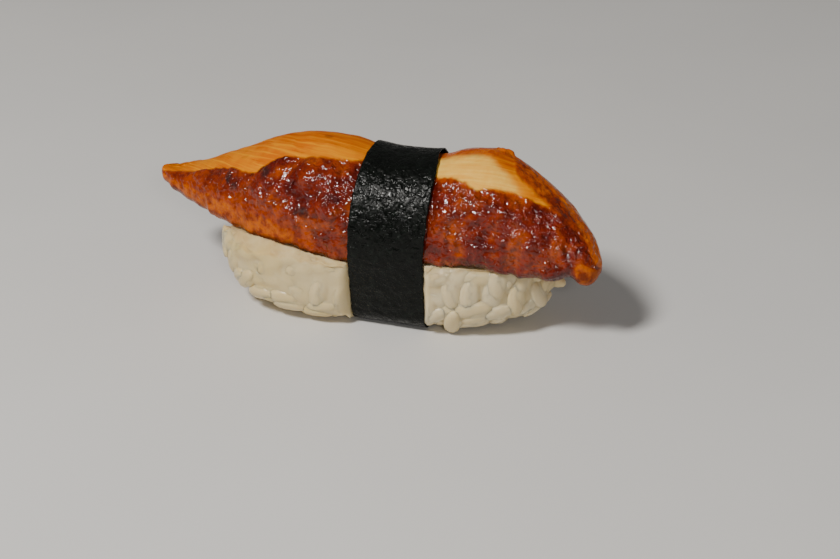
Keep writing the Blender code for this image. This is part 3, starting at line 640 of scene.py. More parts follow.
def eel_relief(x, turn, arc, form, marks):
    """Height to add to the outer arch: wrinkled, pebbled glaze a step above the smooth, finely ridged strip.

    Wrinkles are the creases of folded noise and beads fall off from scattered points. The ridges are noise
    stretched along X. Drops and crumbs are bell curves on top.
    """
    wrinkles = 0.40 - np.abs(layered(form, 2.1 * MM, 31, 2)) * 2.2
    beads = 0.55 - pebbles(form, 1.5 * MM, 41)
    fine = waves_in_space(form, 0.85 * MM, 51)
    glaze = 0.12 * wrinkles + 0.22 * beads + 0.28 * fine
    calm = (1 - 0.35 * marks["thin"]) * (1 - 0.45 * marks["drop"]) * (1 - 0.8 * marks["border"])
    glaze = 0.16 + glaze * calm + 0.12 * marks["char"] * (1 + 2 * fine)
    flow = np.stack([np.broadcast_to(x, arc.shape) / 9.0, arc, 0 * arc], axis=-1)
    ridges = 0.035 * waves_in_space(flow, 0.55 * MM, 61) + 0.07 * waves_in_space(flow, 1.9 * MM, 63)
    skin = ridges + 0.05 * waves_in_space(form, 1.6 * MM, 65)
    height = marks["strip"] * skin + (1 - marks["strip"]) * glaze
    for place, middle, radius, tall in DROPS:
        away = np.hypot((x / MM - place) / radius, (turn - middle) * DROP_ARCH / radius)
        height = height + 1.4 * tall * np.exp(-(away ** 2) * 1.3)
    for place, middle, radius, tall in CREST_CRUMBS:
        away = np.hypot((x / MM - place) / radius, (turn - middle) * CRUMB_ARCH / radius)
        height = height + tall * np.exp(-(away ** 4))
    return free_share(x, 0.0, FINE_FADE) * height * MM


def crest_hollows(x, turn):
    """Depth to take off the outer arch: bell curves along X, which come in from an angle up to the crest."""
    fade = smoothstep(0.0, 0.9 * MM, np.minimum(x - EEL_TAIL, EEL_END - x))
    deep = sum(
        depth * np.exp(-((x / MM - place) / half) ** 2) * smoothstep(start, 1.6, turn)
        for place, half, depth, start in CREST_DIPS
    )
    return fade * deep * MM


def rim_waves(x, form):
    """Unevenness of the two rims: bites, by noise, and how far the front one rises at its notches."""
    low = smoothstep(BITE_DEEP, 0.0, form[..., 2] - station_curve(x, RIM_Z))
    bites = BITE * layered(form * [1.0, 0.35, 0.2], 2.4 * MM, 75, 2)
    rise = sum(tall * np.exp(-((x - place) / half) ** 2) for place, tall, half in NOTCHES)
    free = free_share(x, *BITE_FADE)
    return low * free * bites * MM, low * rise * (form[..., 1] < station_curve(x, CREST_Y))


def build_eel(settings):
    """The fillet: the part's arched loft at full fineness, lifted along its normals by the relief.

    The broad lumps of the loft are evened out again where the strip and its brown border are.
    """
    form, arc, lumps = eel_form(EEL_STEPS)
    _, arch_steps, rim_steps, under_steps = EEL_STEPS
    x = form[:, :1, 0]
    turn = np.linspace(0.0, math.pi, arch_steps)[None]
    face = form[:, :arch_steps]
    marks = eel_marks(x, turn, face)
    crest = smoothstep(1.1, 1.3, turn) * smoothstep(2.8, 2.5, turn)
    even = MOST_EVEN * (marks["strip"] + marks["border"] + crest) + 0.4 * marks["thin"]
    relief = eel_relief(x, turn, arc, face, marks) * settings.relief
    back, under, front = np.split(np.arange(arch_steps, form.shape[1]), [rim_steps, rim_steps + under_steps])
    lift = np.zeros(form.shape[:2])
    lift[:, :arch_steps] = relief - np.clip(even, 0.0, MOST_EVEN) * lumps - crest_hollows(x, turn)
    fade = np.linspace(1.0, 0.2, rim_steps)[None]
    lift[:, back] = lift[:, arch_steps - 1:arch_steps] * fade
    lift[:, front] = lift[:, :1] * fade[:, ::-1]
    lift[:, under] = UNDER_LUMPS * layered(form[:, under], 2.5 * MM, 71, 2)
    grid = form + grid_normals(form) * lift[..., None]
    bite, rise = rim_waves(x, form)
    grid[..., 1] += bite * np.where(form[..., 1] < station_curve(x, CREST_Y), 1.0, -1.0)
    grid[..., 2] += 0.8 * bite + rise
    mesh = tube_mesh("eel_fillet", grid + SHIFT)
    for name in STORED:
        spread = np.zeros(form.shape[:2])
        spread[:, :arch_steps] = marks[name]
        spread[:, back] = marks[name][:, -1:]
        spread[:, front] = marks[name][:, :1]
        add_value(mesh, name, spread)
    below = np.zeros(form.shape[:2])
    below[:, under] = 1.0
    add_value(mesh, "under", below)
    height = np.zeros(form.shape[:2])
    height[:, :arch_steps] = np.clip(relief / GLAZE_TOP, -1.0, 1.0)
    add_value(mesh, "height", height)
    add_flow_map(mesh, form, arc, arch_steps)
    return add_piece("eel_fillet", mesh, eel_material(settings), ["eel"])


def add_flow_map(mesh, form, arc, arch_steps):
    """Lay a UV map along the fillet: U is the place along X and V the way round the arch, in centimetres."""
    around = np.zeros(form.shape[:2])
    around[:, :arch_steps] = arc
    around[:, arch_steps:] = arc[:, -1:]
    flow = np.stack([form[..., 0], around], axis=-1).reshape(-1, 2) * 100.0
    flow = np.concatenate([flow, flow[:1], flow[-1:]])
    corners = np.empty(len(mesh.loops), np.int32)
    mesh.loops.foreach_get("vertex_index", corners)
    layer = mesh.uv_layers.new(name="flow")
    layer.data.foreach_set("uv", flow[corners].astype(np.float32).ravel())


# ---------------------------------------------------------------------------------------------------
# Form of the band


def nori_loop(x, offset):
    """Closed loop round fillet and rice for each x, an offset outside the fillet's face, as y and z.

    It follows the arch, runs straight down to the foot at the back, rounds two corners there with a flat
    between them, and runs straight up again at the front.
    """
    steps = NORI_STEPS[2]
    y, z = eel_outer(x, np.linspace(0.0, math.pi, steps)[None])
    arch = np.stack([y, z], axis=-1) - section_normals(y, z) * offset
    foot = NORI_THICKNESS + GAP - offset
    corner = NORI_CORNER + offset
    back = np.array([NORI_FOOT[1] + offset, foot + corner])
    front = np.array([NORI_FOOT[0] - offset, foot + corner])
    share = np.linspace(0.0, 1.0, steps // 4)[1:-1, None]
    down = arch[:, -1:] + (back - arch[:, -1:]) * share
    up = front + (arch[:, :1] - front) * share
    angles = np.linspace(0.0, math.pi / 2, steps // 8)[:, None]
    turn_in = np.hstack([np.cos(angles), -np.sin(angles)]) * corner + back - [corner, 0.0]
    turn_out = np.hstack([-np.sin(angles), -np.cos(angles)]) * corner + front + [corner, 0.0]
    flat = turn_in[-1] + (turn_out[0] - turn_in[-1]) * share
    foot_path = np.concatenate([turn_in, flat, turn_out])
    return np.concatenate([arch, down, np.broadcast_to(foot_path, (len(x), *foot_path.shape)), up], axis=1)


def resample_loops(loops, shares):
    """Points at shares of the way round each closed loop, by length along the loops' mean."""
    closed = np.concatenate([loops, loops[:, :1]], axis=1)
    steps = np.linalg.norm(np.diff(closed.mean(axis=0), axis=0), axis=-1)
    way = np.concatenate([[0.0], np.cumsum(steps)])
    way /= way[-1]
    wrapped = np.mod(shares, 1.0)
    i = np.clip(np.searchsorted(way, wrapped) - 1, 0, len(way) - 2)
    t = ((wrapped - way[i]) / (way[i + 1] - way[i]))[None, :, None]
    return closed[:, i] * (1 - t) + closed[:, i + 1] * t


def edge_lean(section, across):
    """How far the band leans along X: the lean of its two edges, shared out evenly over its width.

    The left edge leans inward towards the crest. The right one leans outward before it and inward behind.
    """
    behind = smoothstep(*NORI_BEHIND, section[..., 0])
    upper = smoothstep((14.0 - 13.0 * behind) * MM, 22.0 * MM, section[..., 1])
    left = NORI_SLANT_LEFT * (1 - across) * smoothstep(*NORI_HIGH, section[..., 1])
    right = (NORI_FLARE_RIGHT - (NORI_FLARE_RIGHT + NORI_SLANT_RIGHT) * behind) * (1 + across)
    return (left + right * upper) / 2


def build_nori(settings):
    """The band: one sheet wound once round fillet and rice, its end tucked under its start at the foot.

    A point is at a share of the loop and a place across the width. Its distance from the fillet grows
    evenly from start to end, so that the two layers of the overlap lie on each other.
    """
    across = np.linspace(-1.0, 1.0, NORI_STEPS[0])[:, None]
    x = NORI_X + across * NORI_WIDTH / 2
    shares = NORI_START + np.linspace(0.0, 1.0 + NORI_OVERLAP, NORI_STEPS[1])
    near = resample_loops(nori_loop(x, NORI_CLOSE + 0.5 * settings.thickness), shares)
    far = resample_loops(nori_loop(x, GAP + NORI_THICKNESS - 0.5 * settings.thickness), shares)
    wound = np.linspace(0.0, 1.0, len(shares))[None, :, None]
    section = near + (far - near) * wound
    grid = np.dstack([np.broadcast_to(x, section.shape[:2]) + edge_lean(section, across), section])
    standing = smoothstep(0.3 * MM, 2.0 * MM, grid[..., 2])
    crinkle = 0.10 * layered(grid, 3.2 * MM, 81, 2) + 0.075 * np.abs(waves_in_space(grid, 1.3 * MM, 83))
    taut = NORI_TAUT * (1.0 - across ** 2) * smoothstep(*NORI_HIGH, section[..., 1])
    lift = standing * crinkle * settings.crinkle + taut
    grid = grid + sheet_normals(grid) * lift[..., None]
    edge = smoothstep(0.9, 1.0, np.abs(across)) * np.sign(across)
    grid[..., 0] += edge * NORI_WEAR * layered(grid * [0.0, 1.0, 1.0], 1.4 * MM, 85, 2)
    mesh = fill_mesh("nori_band", (grid + SHIFT).reshape(-1, 3), grid_faces(*grid.shape[:2], False))
    nori = add_piece("nori_band", mesh, nori_material(settings), ["nori"])
    sheet = nori.modifiers.new("sheet", "SOLIDIFY")
    sheet.thickness = settings.thickness
    sheet.offset = 0.0
    return nori


def sheet_normals(grid):
    """Unit normals of an open sheet, pointing away from the axis through fillet and rice."""
    normal = unit(np.cross(np.gradient(grid, axis=0), np.gradient(grid, axis=1)))
    away = grid - np.array([0.0, 0.0, (RICE_WAIST + RICE_TOP) / 2])
    outward = np.sign(np.sum((normal * away)[..., 1:]))
    return normal * outward


# ---------------------------------------------------------------------------------------------------
# Form of the rice


def turned_place(u, v):
    """X and Y of a place along and across the rice: a turn by its yaw and a shift to its middle."""
    x = RICE_X + u * math.cos(RICE_YAW) - v * math.sin(RICE_YAW)
    return x, RICE_Y + u * math.sin(RICE_YAW) + v * math.cos(RICE_YAW)


def rice_point(u, turn, inset):
    """Point of the grains' outline, less an inset: u along the rice, turn 0 at the back and pi at the front.

    Each section is a squared-off ellipse whose width and height fade to nothing at the two ends. The back is
    fuller at the band, and the foot of the left end is tucked in under its top.
    """
    half = RICE_LENGTH / 2 - inset
    share = np.clip(np.abs(u) / half, 0.0, 1.0)
    fade = (1.0 - share ** RICE_ENDS[0]) ** (1.0 / RICE_ENDS[1])
    side, up = np.cos(turn), np.sin(turn)
    back = RICE_BACK + RICE_FILL * smoothstep(*FILL_SPAN, np.abs(u + RICE_X - NORI_X))
    width = (np.where(side > 0, back, RICE_FRONT) - inset) * fade
    lower = (RICE_WAIST - inset - RICE_RISE * (1.0 - fade)) * np.abs(up) ** (2.0 / RICE_SQUARE)
    upper = (RICE_TOP - inset - RICE_WAIST) * fade * np.abs(up) ** (2.0 / RICE_DOME)
    v = width * np.sign(side) * np.abs(side) ** (2.0 / RICE_SQUARE)
    z = RICE_WAIST + np.where(up > 0, upper, -lower)
    u = u + RICE_TUCK * smoothstep(*TUCK_SPAN, u) * smoothstep(TUCK_TOP, 0.0, z)
    return np.stack([*turned_place(u, v), z], axis=-1)


def underside_table():
    """Heights of the fillet's lower face on a grid of X and Y, with the grid's axes.

    Between the rims it is the underside's arch, and below each rim a half circle.
    """
    xs = np.linspace(EEL_TAIL, EEL_END, ROOF_STEPS[0])
    ys = np.linspace(-ROOF_REACH, ROOF_REACH, ROOF_STEPS[1])
    turn = np.linspace(0.0, math.pi, ROOF_STEPS[2])
    heights = np.full((len(xs), len(ys)), OPEN)
    for row, x in zip(heights, xs):
        front, back = station_curve(x, FRONT_Y), station_curve(x, BACK_Y)
        rim, rim_z = rim_thickness(x), station_curve(x, RIM_Z)
        row[:] = np.interp(ys, *eel_inner(x, turn))
        for edge in (front + rim / 2, back - rim / 2):
            across = (ys - edge) / (rim / 2)
            round_z = rim_z - rim / 2 * np.sqrt(np.clip(1.0 - across ** 2, 0.0, 1.0))
            row[:] = np.where(np.abs(across) <= 1.0, np.minimum(round_z, rim_z), row)
        row[(ys < front) | (ys > back)] = OPEN
    return xs, ys, heights


UNDERSIDE = underside_table()


def roof_over(points):
    """Height that the rice may reach: just below the fillet, or a brow that falls away outside its rims.

    The brow starts below the rim, drops over a bevel as an exponential does, falls on with the square of the
    way out and is made lumpy by noise.
    """
    xs, ys, heights = UNDERSIDE
    x, y = points[..., 0], points[..., 1]
    i = np.clip(np.searchsorted(xs, x), 2, len(xs) - 3)
    j = np.clip(np.searchsorted(ys, y), 2, len(ys) - 3)
    near = [heights[i + a, j + b] for a in (-1, 0, 1) for b in (-2, 0, 2)]
    inside = (x > xs[0]) & (x < xs[-1])
    covered = np.where(inside, np.min(near, axis=0) - ROOF_GAP, OPEN)
    outside = np.maximum(station_curve(x, FRONT_Y) - y, y - station_curve(x, BACK_Y))
    away = np.clip(outside, 0.0, BROW_REACH)
    bevel = BROW_BEVEL[0] + (BROW_BEVEL[1] - BROW_BEVEL[0]) * smoothstep(*BROW_SPAN, x)
    steep = bevel * (1.0 - np.exp(-away / BROW_WIDTH))
    brow = station_curve(x, RIM_Z) - BROW_DROP - steep - BROW_BEND * away ** 2 / MM
    lumps = BROW_LUMPS * waves_in_space(points * [1.0, 1.0, 0.0], 2.1 * MM, 101)
    brow = brow + lumps * smoothstep(0.0, MM, outside)
    return np.where(inside & (outside > -0.5 * rim_thickness(x)), np.minimum(covered, brow), covered)


def near_roof(points):
    """1 where the rice reaches the roof over it, falling to 0 a little further down."""
    return smoothstep(*STAIN_AND_SHADE_DEPTH, roof_over(points) - points[..., 2])


def band_limits(points):
    """Least and greatest Y inside the band at each point: straight lines from the fillet's rims to the foot.

    Beyond the band's two edges they open out with the root of the way, made lumpy by noise.
    """
    x, z = points[..., 0], points[..., 2]
    rim_z = station_curve(x, RIM_Z)
    lean = np.clip((rim_z - z) / (rim_z - NORI_CORNER), 0.0, 1.0)
    beyond = np.maximum(np.abs(x - NORI_X) - NORI_WIDTH / 2 - 0.1 * GAP, 0.0)
    lumps = BAND_LUMPS * waves_in_space(points, 2.3 * MM, 99) * smoothstep(0.0, 0.5 * MM, beyond)
    open_out = 1.6 * GAP - 2.4 * np.sqrt(beyond * MM) + lumps
    limits = []
    for column, foot, sign in ((FRONT_Y, NORI_FOOT[0], 1.0), (BACK_Y, NORI_FOOT[1], -1.0)):
        rim_y = station_curve(x, column)
        limits.append(rim_y + (foot - rim_y) * lean + sign * open_out)
    return limits


def press(points, depth=0.0):
    """Fit points of the rice under the fillet, inside the band and on the board, as pressing does.

    Each limit is met softly. Depth moves the limits inward, for what lies under the surface.
    """
    front, back = band_limits(points)
    y = soft_least(points[..., 1], back - depth, PRESS_SOFT)
    y = -soft_least(-y, -front - depth, PRESS_SOFT)
    corner = np.clip(np.maximum(front + NORI_CORNER - y, y - back + NORI_CORNER) / NORI_CORNER, 0.0, 1.0)
    banded = np.abs(points[..., 0] - NORI_X) < NORI_WIDTH / 2 + GAP
    rise = NORI_THICKNESS + GAP + NORI_CORNER * (1.0 - np.sqrt(1.0 - corner ** 2))
    floor = np.where(banded, rise, BOARD_GAP) + depth
    pressed = np.stack([points[..., 0], y, points[..., 2]], axis=-1)
    lowered = soft_least(pressed[..., 2], roof_over(pressed) - depth, 2 * PRESS_SOFT)
    pressed[..., 2] = np.maximum(lowered, floor)
    return pressed


def site_frames(u, turn, sink):
    """Middles of grains, and the outline's outward and lengthwise directions there, by small steps on it."""
    middle = rice_point(u, turn, sink)
    along = rice_point(u + 0.2 * MM, turn, sink) - middle
    around = rice_point(u, turn + 0.02, sink) - middle
    out = unit(np.cross(around, along))
    heart = np.array([RICE_X, RICE_Y, RICE_WAIST])
    out *= np.sign(np.sum(out * (middle - heart), axis=-1, keepdims=True))
    along -= out * np.sum(along * out, axis=-1, keepdims=True)
    return middle, out, unit(along)


def scatter_sites(rng, count):
    """Sites for grains, as u and turn: of several places tried each time, the one farthest from those taken.

    The places are points of a grid on the outline, drawn with a chance that grows with the area round them.
    """
    places = (RICE_LENGTH / 2 - SITE_END) * np.sin(np.linspace(-1.54, 1.54, SITE_STEPS[0]))
    u, turn = np.meshgrid(places, np.linspace(*SHOWING, SITE_STEPS[1]), indexing="ij")
    spots = rice_point(u, turn, MM)
    area = np.linalg.norm(np.cross(np.gradient(spots, axis=0), np.gradient(spots, axis=1)), axis=-1).ravel()
    spots = spots.reshape(-1, 3)
    marked = np.array(MARKED_GRAINS)
    taken = list(rice_point(marked[:, 0] * MM, marked[:, 1], MM))
    chosen = []
    for _ in range(count):
        tries = rng.choice(len(spots), size=SITE_TRIES, p=area / area.sum())
        apart = np.linalg.norm(spots[tries][:, None] - np.array(taken)[None], axis=-1).min(axis=1)
        best = int(tries[apart.argmax()])
        chosen.append(best)
        taken.append(spots[best])
    return u.ravel()[chosen], turn.ravel()[chosen]


def grain_template():
    """One cooked grain on a grid of rings and sides: an egg-ended, slightly bent and flattened ellipsoid.

    Its length runs along the first axis from -0.5 to 0.5, and its poles are the last two points.
    """
    phi = np.linspace(0.0, math.pi, GRAIN_RINGS + 1)[1:-1, None]
    theta = np.linspace(0.0, math.tau, GRAIN_SIDES, endpoint=False)[None]
    length = -0.5 * np.cos(phi) + 0 * theta
    girth = 0.5 * np.sin(phi) ** 0.82 * (1.0 - 0.14 * length * 2)
    breadth = girth * np.cos(theta) + 0.07 * (1 - 4 * length ** 2)
    rings = np.stack([length, breadth, girth * np.sin(theta)], axis=-1)
    verts = np.concatenate([rings.reshape(-1, 3), [[-0.5, 0.0, 0.0], [0.5, 0.0, 0.0]]])
    return verts, *outward_faces(rings)


def merged_share(u):
    """1 where the rice is pressed to a smooth mass, falling to 0 where its grains show singly."""
    return smoothstep(MERGED[0], MERGED[1], u) * smoothstep(MERGED[3], MERGED[2], u)


def rice_sites(settings):
    """Every grain's middle, outward way, axes, size, sink, flat height and tone: first the marked ones.

    A grain lies along the outline, spun about its outward way and tipped out of it. Its three axes are that
    length, the cross product of the outward way with it, and the cross product of those two.
    """
    rng = np.random.default_rng(SEED)
    u, turn = scatter_sites(rng, settings.grain_count)
    count = len(u)
    bare = 1 - merged_share(u)
    spin = rng.uniform(-GRAIN_SPIN, GRAIN_SPIN, count) + BARE_SPIN * bare
    tip = rng.uniform(-GRAIN_TIP, GRAIN_TIP, count)
    size = rng.uniform(*GRAIN_SIZES, count)
    sink = (GRAIN_SINK - BARE_RISE * bare + rng.uniform(*SINK_SPREAD, count)) * MM
    marked = np.array([
        (place * MM, angle, spun, grown, sunk * MM, 0.0) for place, angle, spun, grown, sunk in MARKED_GRAINS
    ])
    scattered = np.stack([u, turn, spin, size, sink, tip])
    u, turn, spin, size, sink, tip = np.concatenate([marked.T, scattered], axis=1)
    middle, out, along = site_frames(u, turn, sink)
    across = np.cross(out, along)
    length = along * np.cos(spin)[:, None] + across * np.sin(spin)[:, None]
    length = length * np.cos(tip)[:, None] + out * np.sin(tip)[:, None]
    breadth = unit(np.cross(out, length))
    axes = np.stack([length, breadth, np.cross(length, breadth)], axis=1)
    flat = np.repeat(GRAIN_PROUD[::-1], [len(marked), count])
    tone = 0.7 - 0.5 * merged_share(middle[:, 0]) + rng.uniform(-0.3, 0.3, len(middle))
    return middle, out, axes, size, sink, flat, tone


def full_grain(settings):
    """Length, width and depth of a grain at full size."""
    return np.array([settings.grain_length, settings.grain_width, settings.grain_depth])


def build_grains(settings):
    """Grains over the whole showing rice as one mesh, flattened where they meet its outline.

    Each is then pressed in where fillet, band or board stops it, and left out where that moves it too far.
    """
    middle, out, axes, size, sink, flat, tone = rice_sites(settings)
    verts, quads, tris = grain_template()
    local = verts[None] * full_grain(settings) * size[:, None, None]
    points = middle[:, None] + np.einsum("nvk,nkc->nvc", local, axes)
    proud = np.sum((points - middle[:, None]) * out[:, None], axis=-1) - sink[:, None]
    points -= (proud - soft_least(proud, flat[:, None], GRAIN_FLATTEN))[..., None] * out[:, None]
    pressed = press(points, GRAIN_EASE)
    moved = np.linalg.norm(pressed - points, axis=-1)
    keep = (moved.mean(axis=1) < MOST_PRESSED[0]) & (moved.max(axis=1) < MOST_PRESSED[1])
    pressed = pressed[keep]
    count, each = pressed.shape[:2]
    first = (np.arange(count) * each)[:, None, None]
    mesh = fill_mesh(
        "rice_grains",
        (pressed + SHIFT).reshape(-1, 3),
        (quads[None] + first).reshape(-1, 4),
        (tris[None] + first).reshape(-1, 3),
    )
    add_value(mesh, "tone", np.repeat(tone[keep], each), poles=False)
    add_value(mesh, "stain_and_shade", near_roof(pressed), poles=False)
    material = rice_material("rice_grains", settings, CLEAR_DEPTH[1])
    return add_piece("rice_grains", mesh, material)


def swell_over_grains(grid, normal, base, settings):
    """Height of the film that joins the grains, and its tone, taken from the grain below.

    A grain's dome is half an ellipsoid over its own plane, flattened at the outline. The height is a soft
    greatest value of a base and all domes: the logarithm of a sum of exponentials, which rounds the creases.
    The film covers the scattered grains and stays below the tops of the marked ones.
    """
    middle, _, axes, size, _, flat, tone = rice_sites(settings)
    cover = np.where(np.arange(len(size)) < len(MARKED_GRAINS), -FILM_DROP, FILM_COVER)
    half = 0.5 * full_grain(settings)
    total = np.exp(np.broadcast_to(base, grid.shape[:2]) / FILM_ROUND)
    toned = 0.45 * total
    for spot, turned, grown, top, own_tone, over in zip(middle, axes, size, flat, tone, cover):
        rows = np.abs(grid[:, :, 0] - spot[0]).min(axis=1) < DOME_REACH
        away = spot - grid[rows]
        lengthwise = away @ turned[0] / (half[0] * grown)
        across = away @ turned[1] / (half[1] * grown)
        inside = np.clip(1.0 - lengthwise ** 2 - across ** 2, 0.0, 1.0)
        rise = np.sum(away * normal[rows], axis=-1) + half[2] * grown * np.sqrt(inside)
        near = (inside > 0) & (np.abs(rise) < DOME_DEPTH)
        rise = soft_least(rise, CORE_INSET + top, GRAIN_FLATTEN) + over
        dome = np.where(near, np.exp(np.maximum(rise, 0.0) / FILM_ROUND), 0.0)
        total[rows] += dome
        toned[rows] += own_tone * dome
    return np.log(total) * FILM_ROUND, toned / total


def build_core(settings):
    """The sticky mass that the grains sit in: their outline less an inset, with a film drawn up over each.

    The film's creases are deepest where the grains show, and noise adds low lumps.
    """
    rows, columns = CORE_STEPS
    turn = np.linspace(0.0, math.tau, columns, endpoint=False)[None]
    places = np.sin(np.linspace(-math.pi / 2 + 0.03, math.pi / 2 - 0.03, rows))
    u = ((RICE_LENGTH / 2 - CORE_END) * places)[:, None]
    grid = rice_point(u, turn, CORE_INSET)
    normal = grid_normals(grid)
    share = merged_share(u + 3.0 * MM * waves_in_space(grid, 8.0 * MM, 97))
    base = CORE_INSET - (FILM_SUNK[0] + (FILM_SUNK[1] - FILM_SUNK[0]) * share)
    film, tone = swell_over_grains(grid, normal, base, settings)
    swell = film + CORE_LUMPS * layered(grid, 3.4 * MM, 91, 2)
    grid = press(grid + normal * swell[..., None])
    mesh = tube_mesh("rice_core", grid + SHIFT)
    add_value(mesh, "tone", tone + 0.3 * waves_in_space(grid, 5.0 * MM, 95))
    add_value(mesh, "stain_and_shade", near_roof(grid))
    material = rice_material("rice_core", settings, CLEAR_DEPTH[0])
    return add_piece("rice_core", mesh, material, ["rice"])


# ---------------------------------------------------------------------------------------------------
# Materials


class Nodes:
    """Short ways to add and join shader nodes in one material. A colour is given as three numbers."""

    def __init__(self, name):
        self.material = bpy.data.materials.new(name)
        self.material.use_nodes = True
        self.tree = self.material.node_tree
        self.shader = self.tree.nodes["Principled BSDF"]

    def put(self, socket, value):
        """Join an output to a socket, or set its constant."""
        if isinstance(value, bpy.types.NodeSocket):
            self.tree.links.new(value, socket)
        else:
            socket.default_value = (*value, 1.0) if socket.type == "RGBA" else value

    def add(self, kind, **inputs):
        """Add a node. Capitalised names set or join its inputs, and the others its own settings."""
        node = self.tree.nodes.new(kind)
        for name, value in inputs.items():
            if name[0].islower():
                setattr(node, name, value)
            else:
                self.put(node.inputs[name], value)
        return node

    def dress(self, **inputs):
        """Set or join the shader's own inputs, and give the material back. A _ stands for a space."""
        for name, value in inputs.items():
            self.put(self.shader.inputs[name.replace("_", " ")], value)
        return self.material

    def place(self):
        """A point's place on its piece, in metres."""
        return self.add("ShaderNodeTexCoord").outputs["Object"]

    def value(self, name):
        """A number stored on the mesh."""
        return self.add("ShaderNodeAttribute", attribute_name=name).outputs["Fac"]

    def math(self, operation, *numbers):
        """One step of arithmetic, held between 0 and 1."""
        node = self.add("ShaderNodeMath", operation=operation, use_clamp=True)
        for socket, number in zip(node.inputs, numbers):
            self.put(socket, number)
        return node.outputs[0]

    def times(self, first, second):
        """Two numbers multiplied."""
        return self.math("MULTIPLY", first, second)

    def mix(self, share, first, second):
        """One colour over another."""
        node = self.add("ShaderNodeMix", data_type="RGBA")
        for index, value in ((0, share), (6, first), (7, second)):
            self.put(node.inputs[index], value)
        return node.outputs[2]

    def mix_ways(self, share, first, second):
        """One direction blended into another."""
        node = self.add("ShaderNodeMix", data_type="VECTOR")
        for index, value in ((0, share), (4, first), (5, second)):
            self.put(node.inputs[index], value)
        return node.outputs[1]

    def noise(self, vector, pitch, detail=3.0, roughness=0.55, distortion=0.0):
        """Noise with lumps about a pitch apart, in the vector's own unit."""
        node = self.add(
            "ShaderNodeTexNoise",
            Vector=vector, Scale=1.0 / pitch, Detail=detail, Roughness=roughness, Distortion=distortion,
        )
        return node.outputs["Fac"]

    def steps(self, share, *stops):
        """Numbers or colours at places from 0 to 1, joined by straight steps."""
        node = self.tree.nodes.new("ShaderNodeValToRGB")
        self.put(node.inputs[0], share)
        ramp = node.color_ramp
        while len(ramp.elements) < len(stops):
            ramp.elements.new(0.5)
        for element, (place, tone) in zip(ramp.elements, stops):
            element.position = place
            element.color = (tone, tone, tone, 1.0) if isinstance(tone, float) else (*tone, 1.0)
        return node.outputs["Color"]

    def bump(self, height, distance, strength=1.0, under=None):
        """Normals tilted by a height, on top of another bump's."""
        node = self.add("ShaderNodeBump", Height=height, Distance=distance, Strength=strength)
        if under is not None:
            self.put(node.inputs["Normal"], under)
        return node.outputs["Normal"]


def darker(colour, share):
    """A colour with each of its three numbers brought down to a share."""
    return tuple(part * share for part in colour)


def glaze_colours(n, settings, broad, mid):
    """Colour of the glaze: russet with dark and amber parts, amber to gold where thin, with painted shade in
    the hollows.
    """
    dark = darker(settings.glaze_colour, 0.35)
    thin, amber, gold = n.value("thin"), settings.amber_colour, settings.gold_colour
    glaze = n.steps(broad, (0.34, settings.glaze_colour), (0.50, settings.russet_colour), (0.68, amber))
    glaze = n.mix(n.steps(mid, (0.36, 0.55), (0.56, 0.0)), glaze, dark)
    orange = n.mix(n.steps(mid, (0.35, 0.9), (0.62, 0.15)), amber, settings.russet_colour)
    glaze = n.mix(n.times(thin, n.steps(mid, (0.32, 0.45), (0.58, 1.0))), glaze, orange)
    # Gold where the glaze is thinnest. At the drooping corner this is partly a painted highlight.
    gilt = n.times(n.steps(thin, (0.80, 0.0), (1.0, 0.6)), n.steps(mid, (0.40, 0.2), (0.60, 1.0)))
    glaze = n.mix(gilt, glaze, gold)
    # Painted shade: the glaze is darkened towards its dark colour where the relief is low, in its hollows and
    # creases.
    low = n.steps(n.math("MULTIPLY_ADD", n.value("height"), 0.5, 0.5), (0.42, 1.0), (0.66, 0.0))
    glaze = n.mix(n.times(low, 0.45), glaze, dark)
    edge = n.mix(n.steps(mid, (0.38, 0.0), (0.60, 0.75)), amber, gold)
    return n.mix(n.times(n.value("border"), 0.9), glaze, edge)


def strip_colours(n, settings, broad, mid, fibre):
    """Colour of the cut strip: streaks of gold and straw on the fibres, orange where toasted, then cream."""
    amber, gold, straw = settings.amber_colour, settings.gold_colour, settings.straw_colour
    streaks = n.steps(fibre, (0.34, amber), (0.43, gold), (0.52, gold), (0.64, straw))
    golden = n.mix(n.steps(broad, (0.40, 0.0), (0.62, 0.6)), streaks, straw)
    toasted = n.mix(n.steps(fibre, (0.4, 0.0), (0.6, 1.0)), amber, gold)
    golden = n.mix(n.times(n.value("toast"), 0.75), golden, toasted)
    cream = n.mix(n.steps(fibre, (0.35, 0.45), (0.55, 0.0)), settings.cream_colour, straw)
    cream = n.mix(n.steps(mid, (0.35, 0.0), (0.65, 0.30)), cream, straw)
    return n.mix(n.value("cream"), golden, cream)


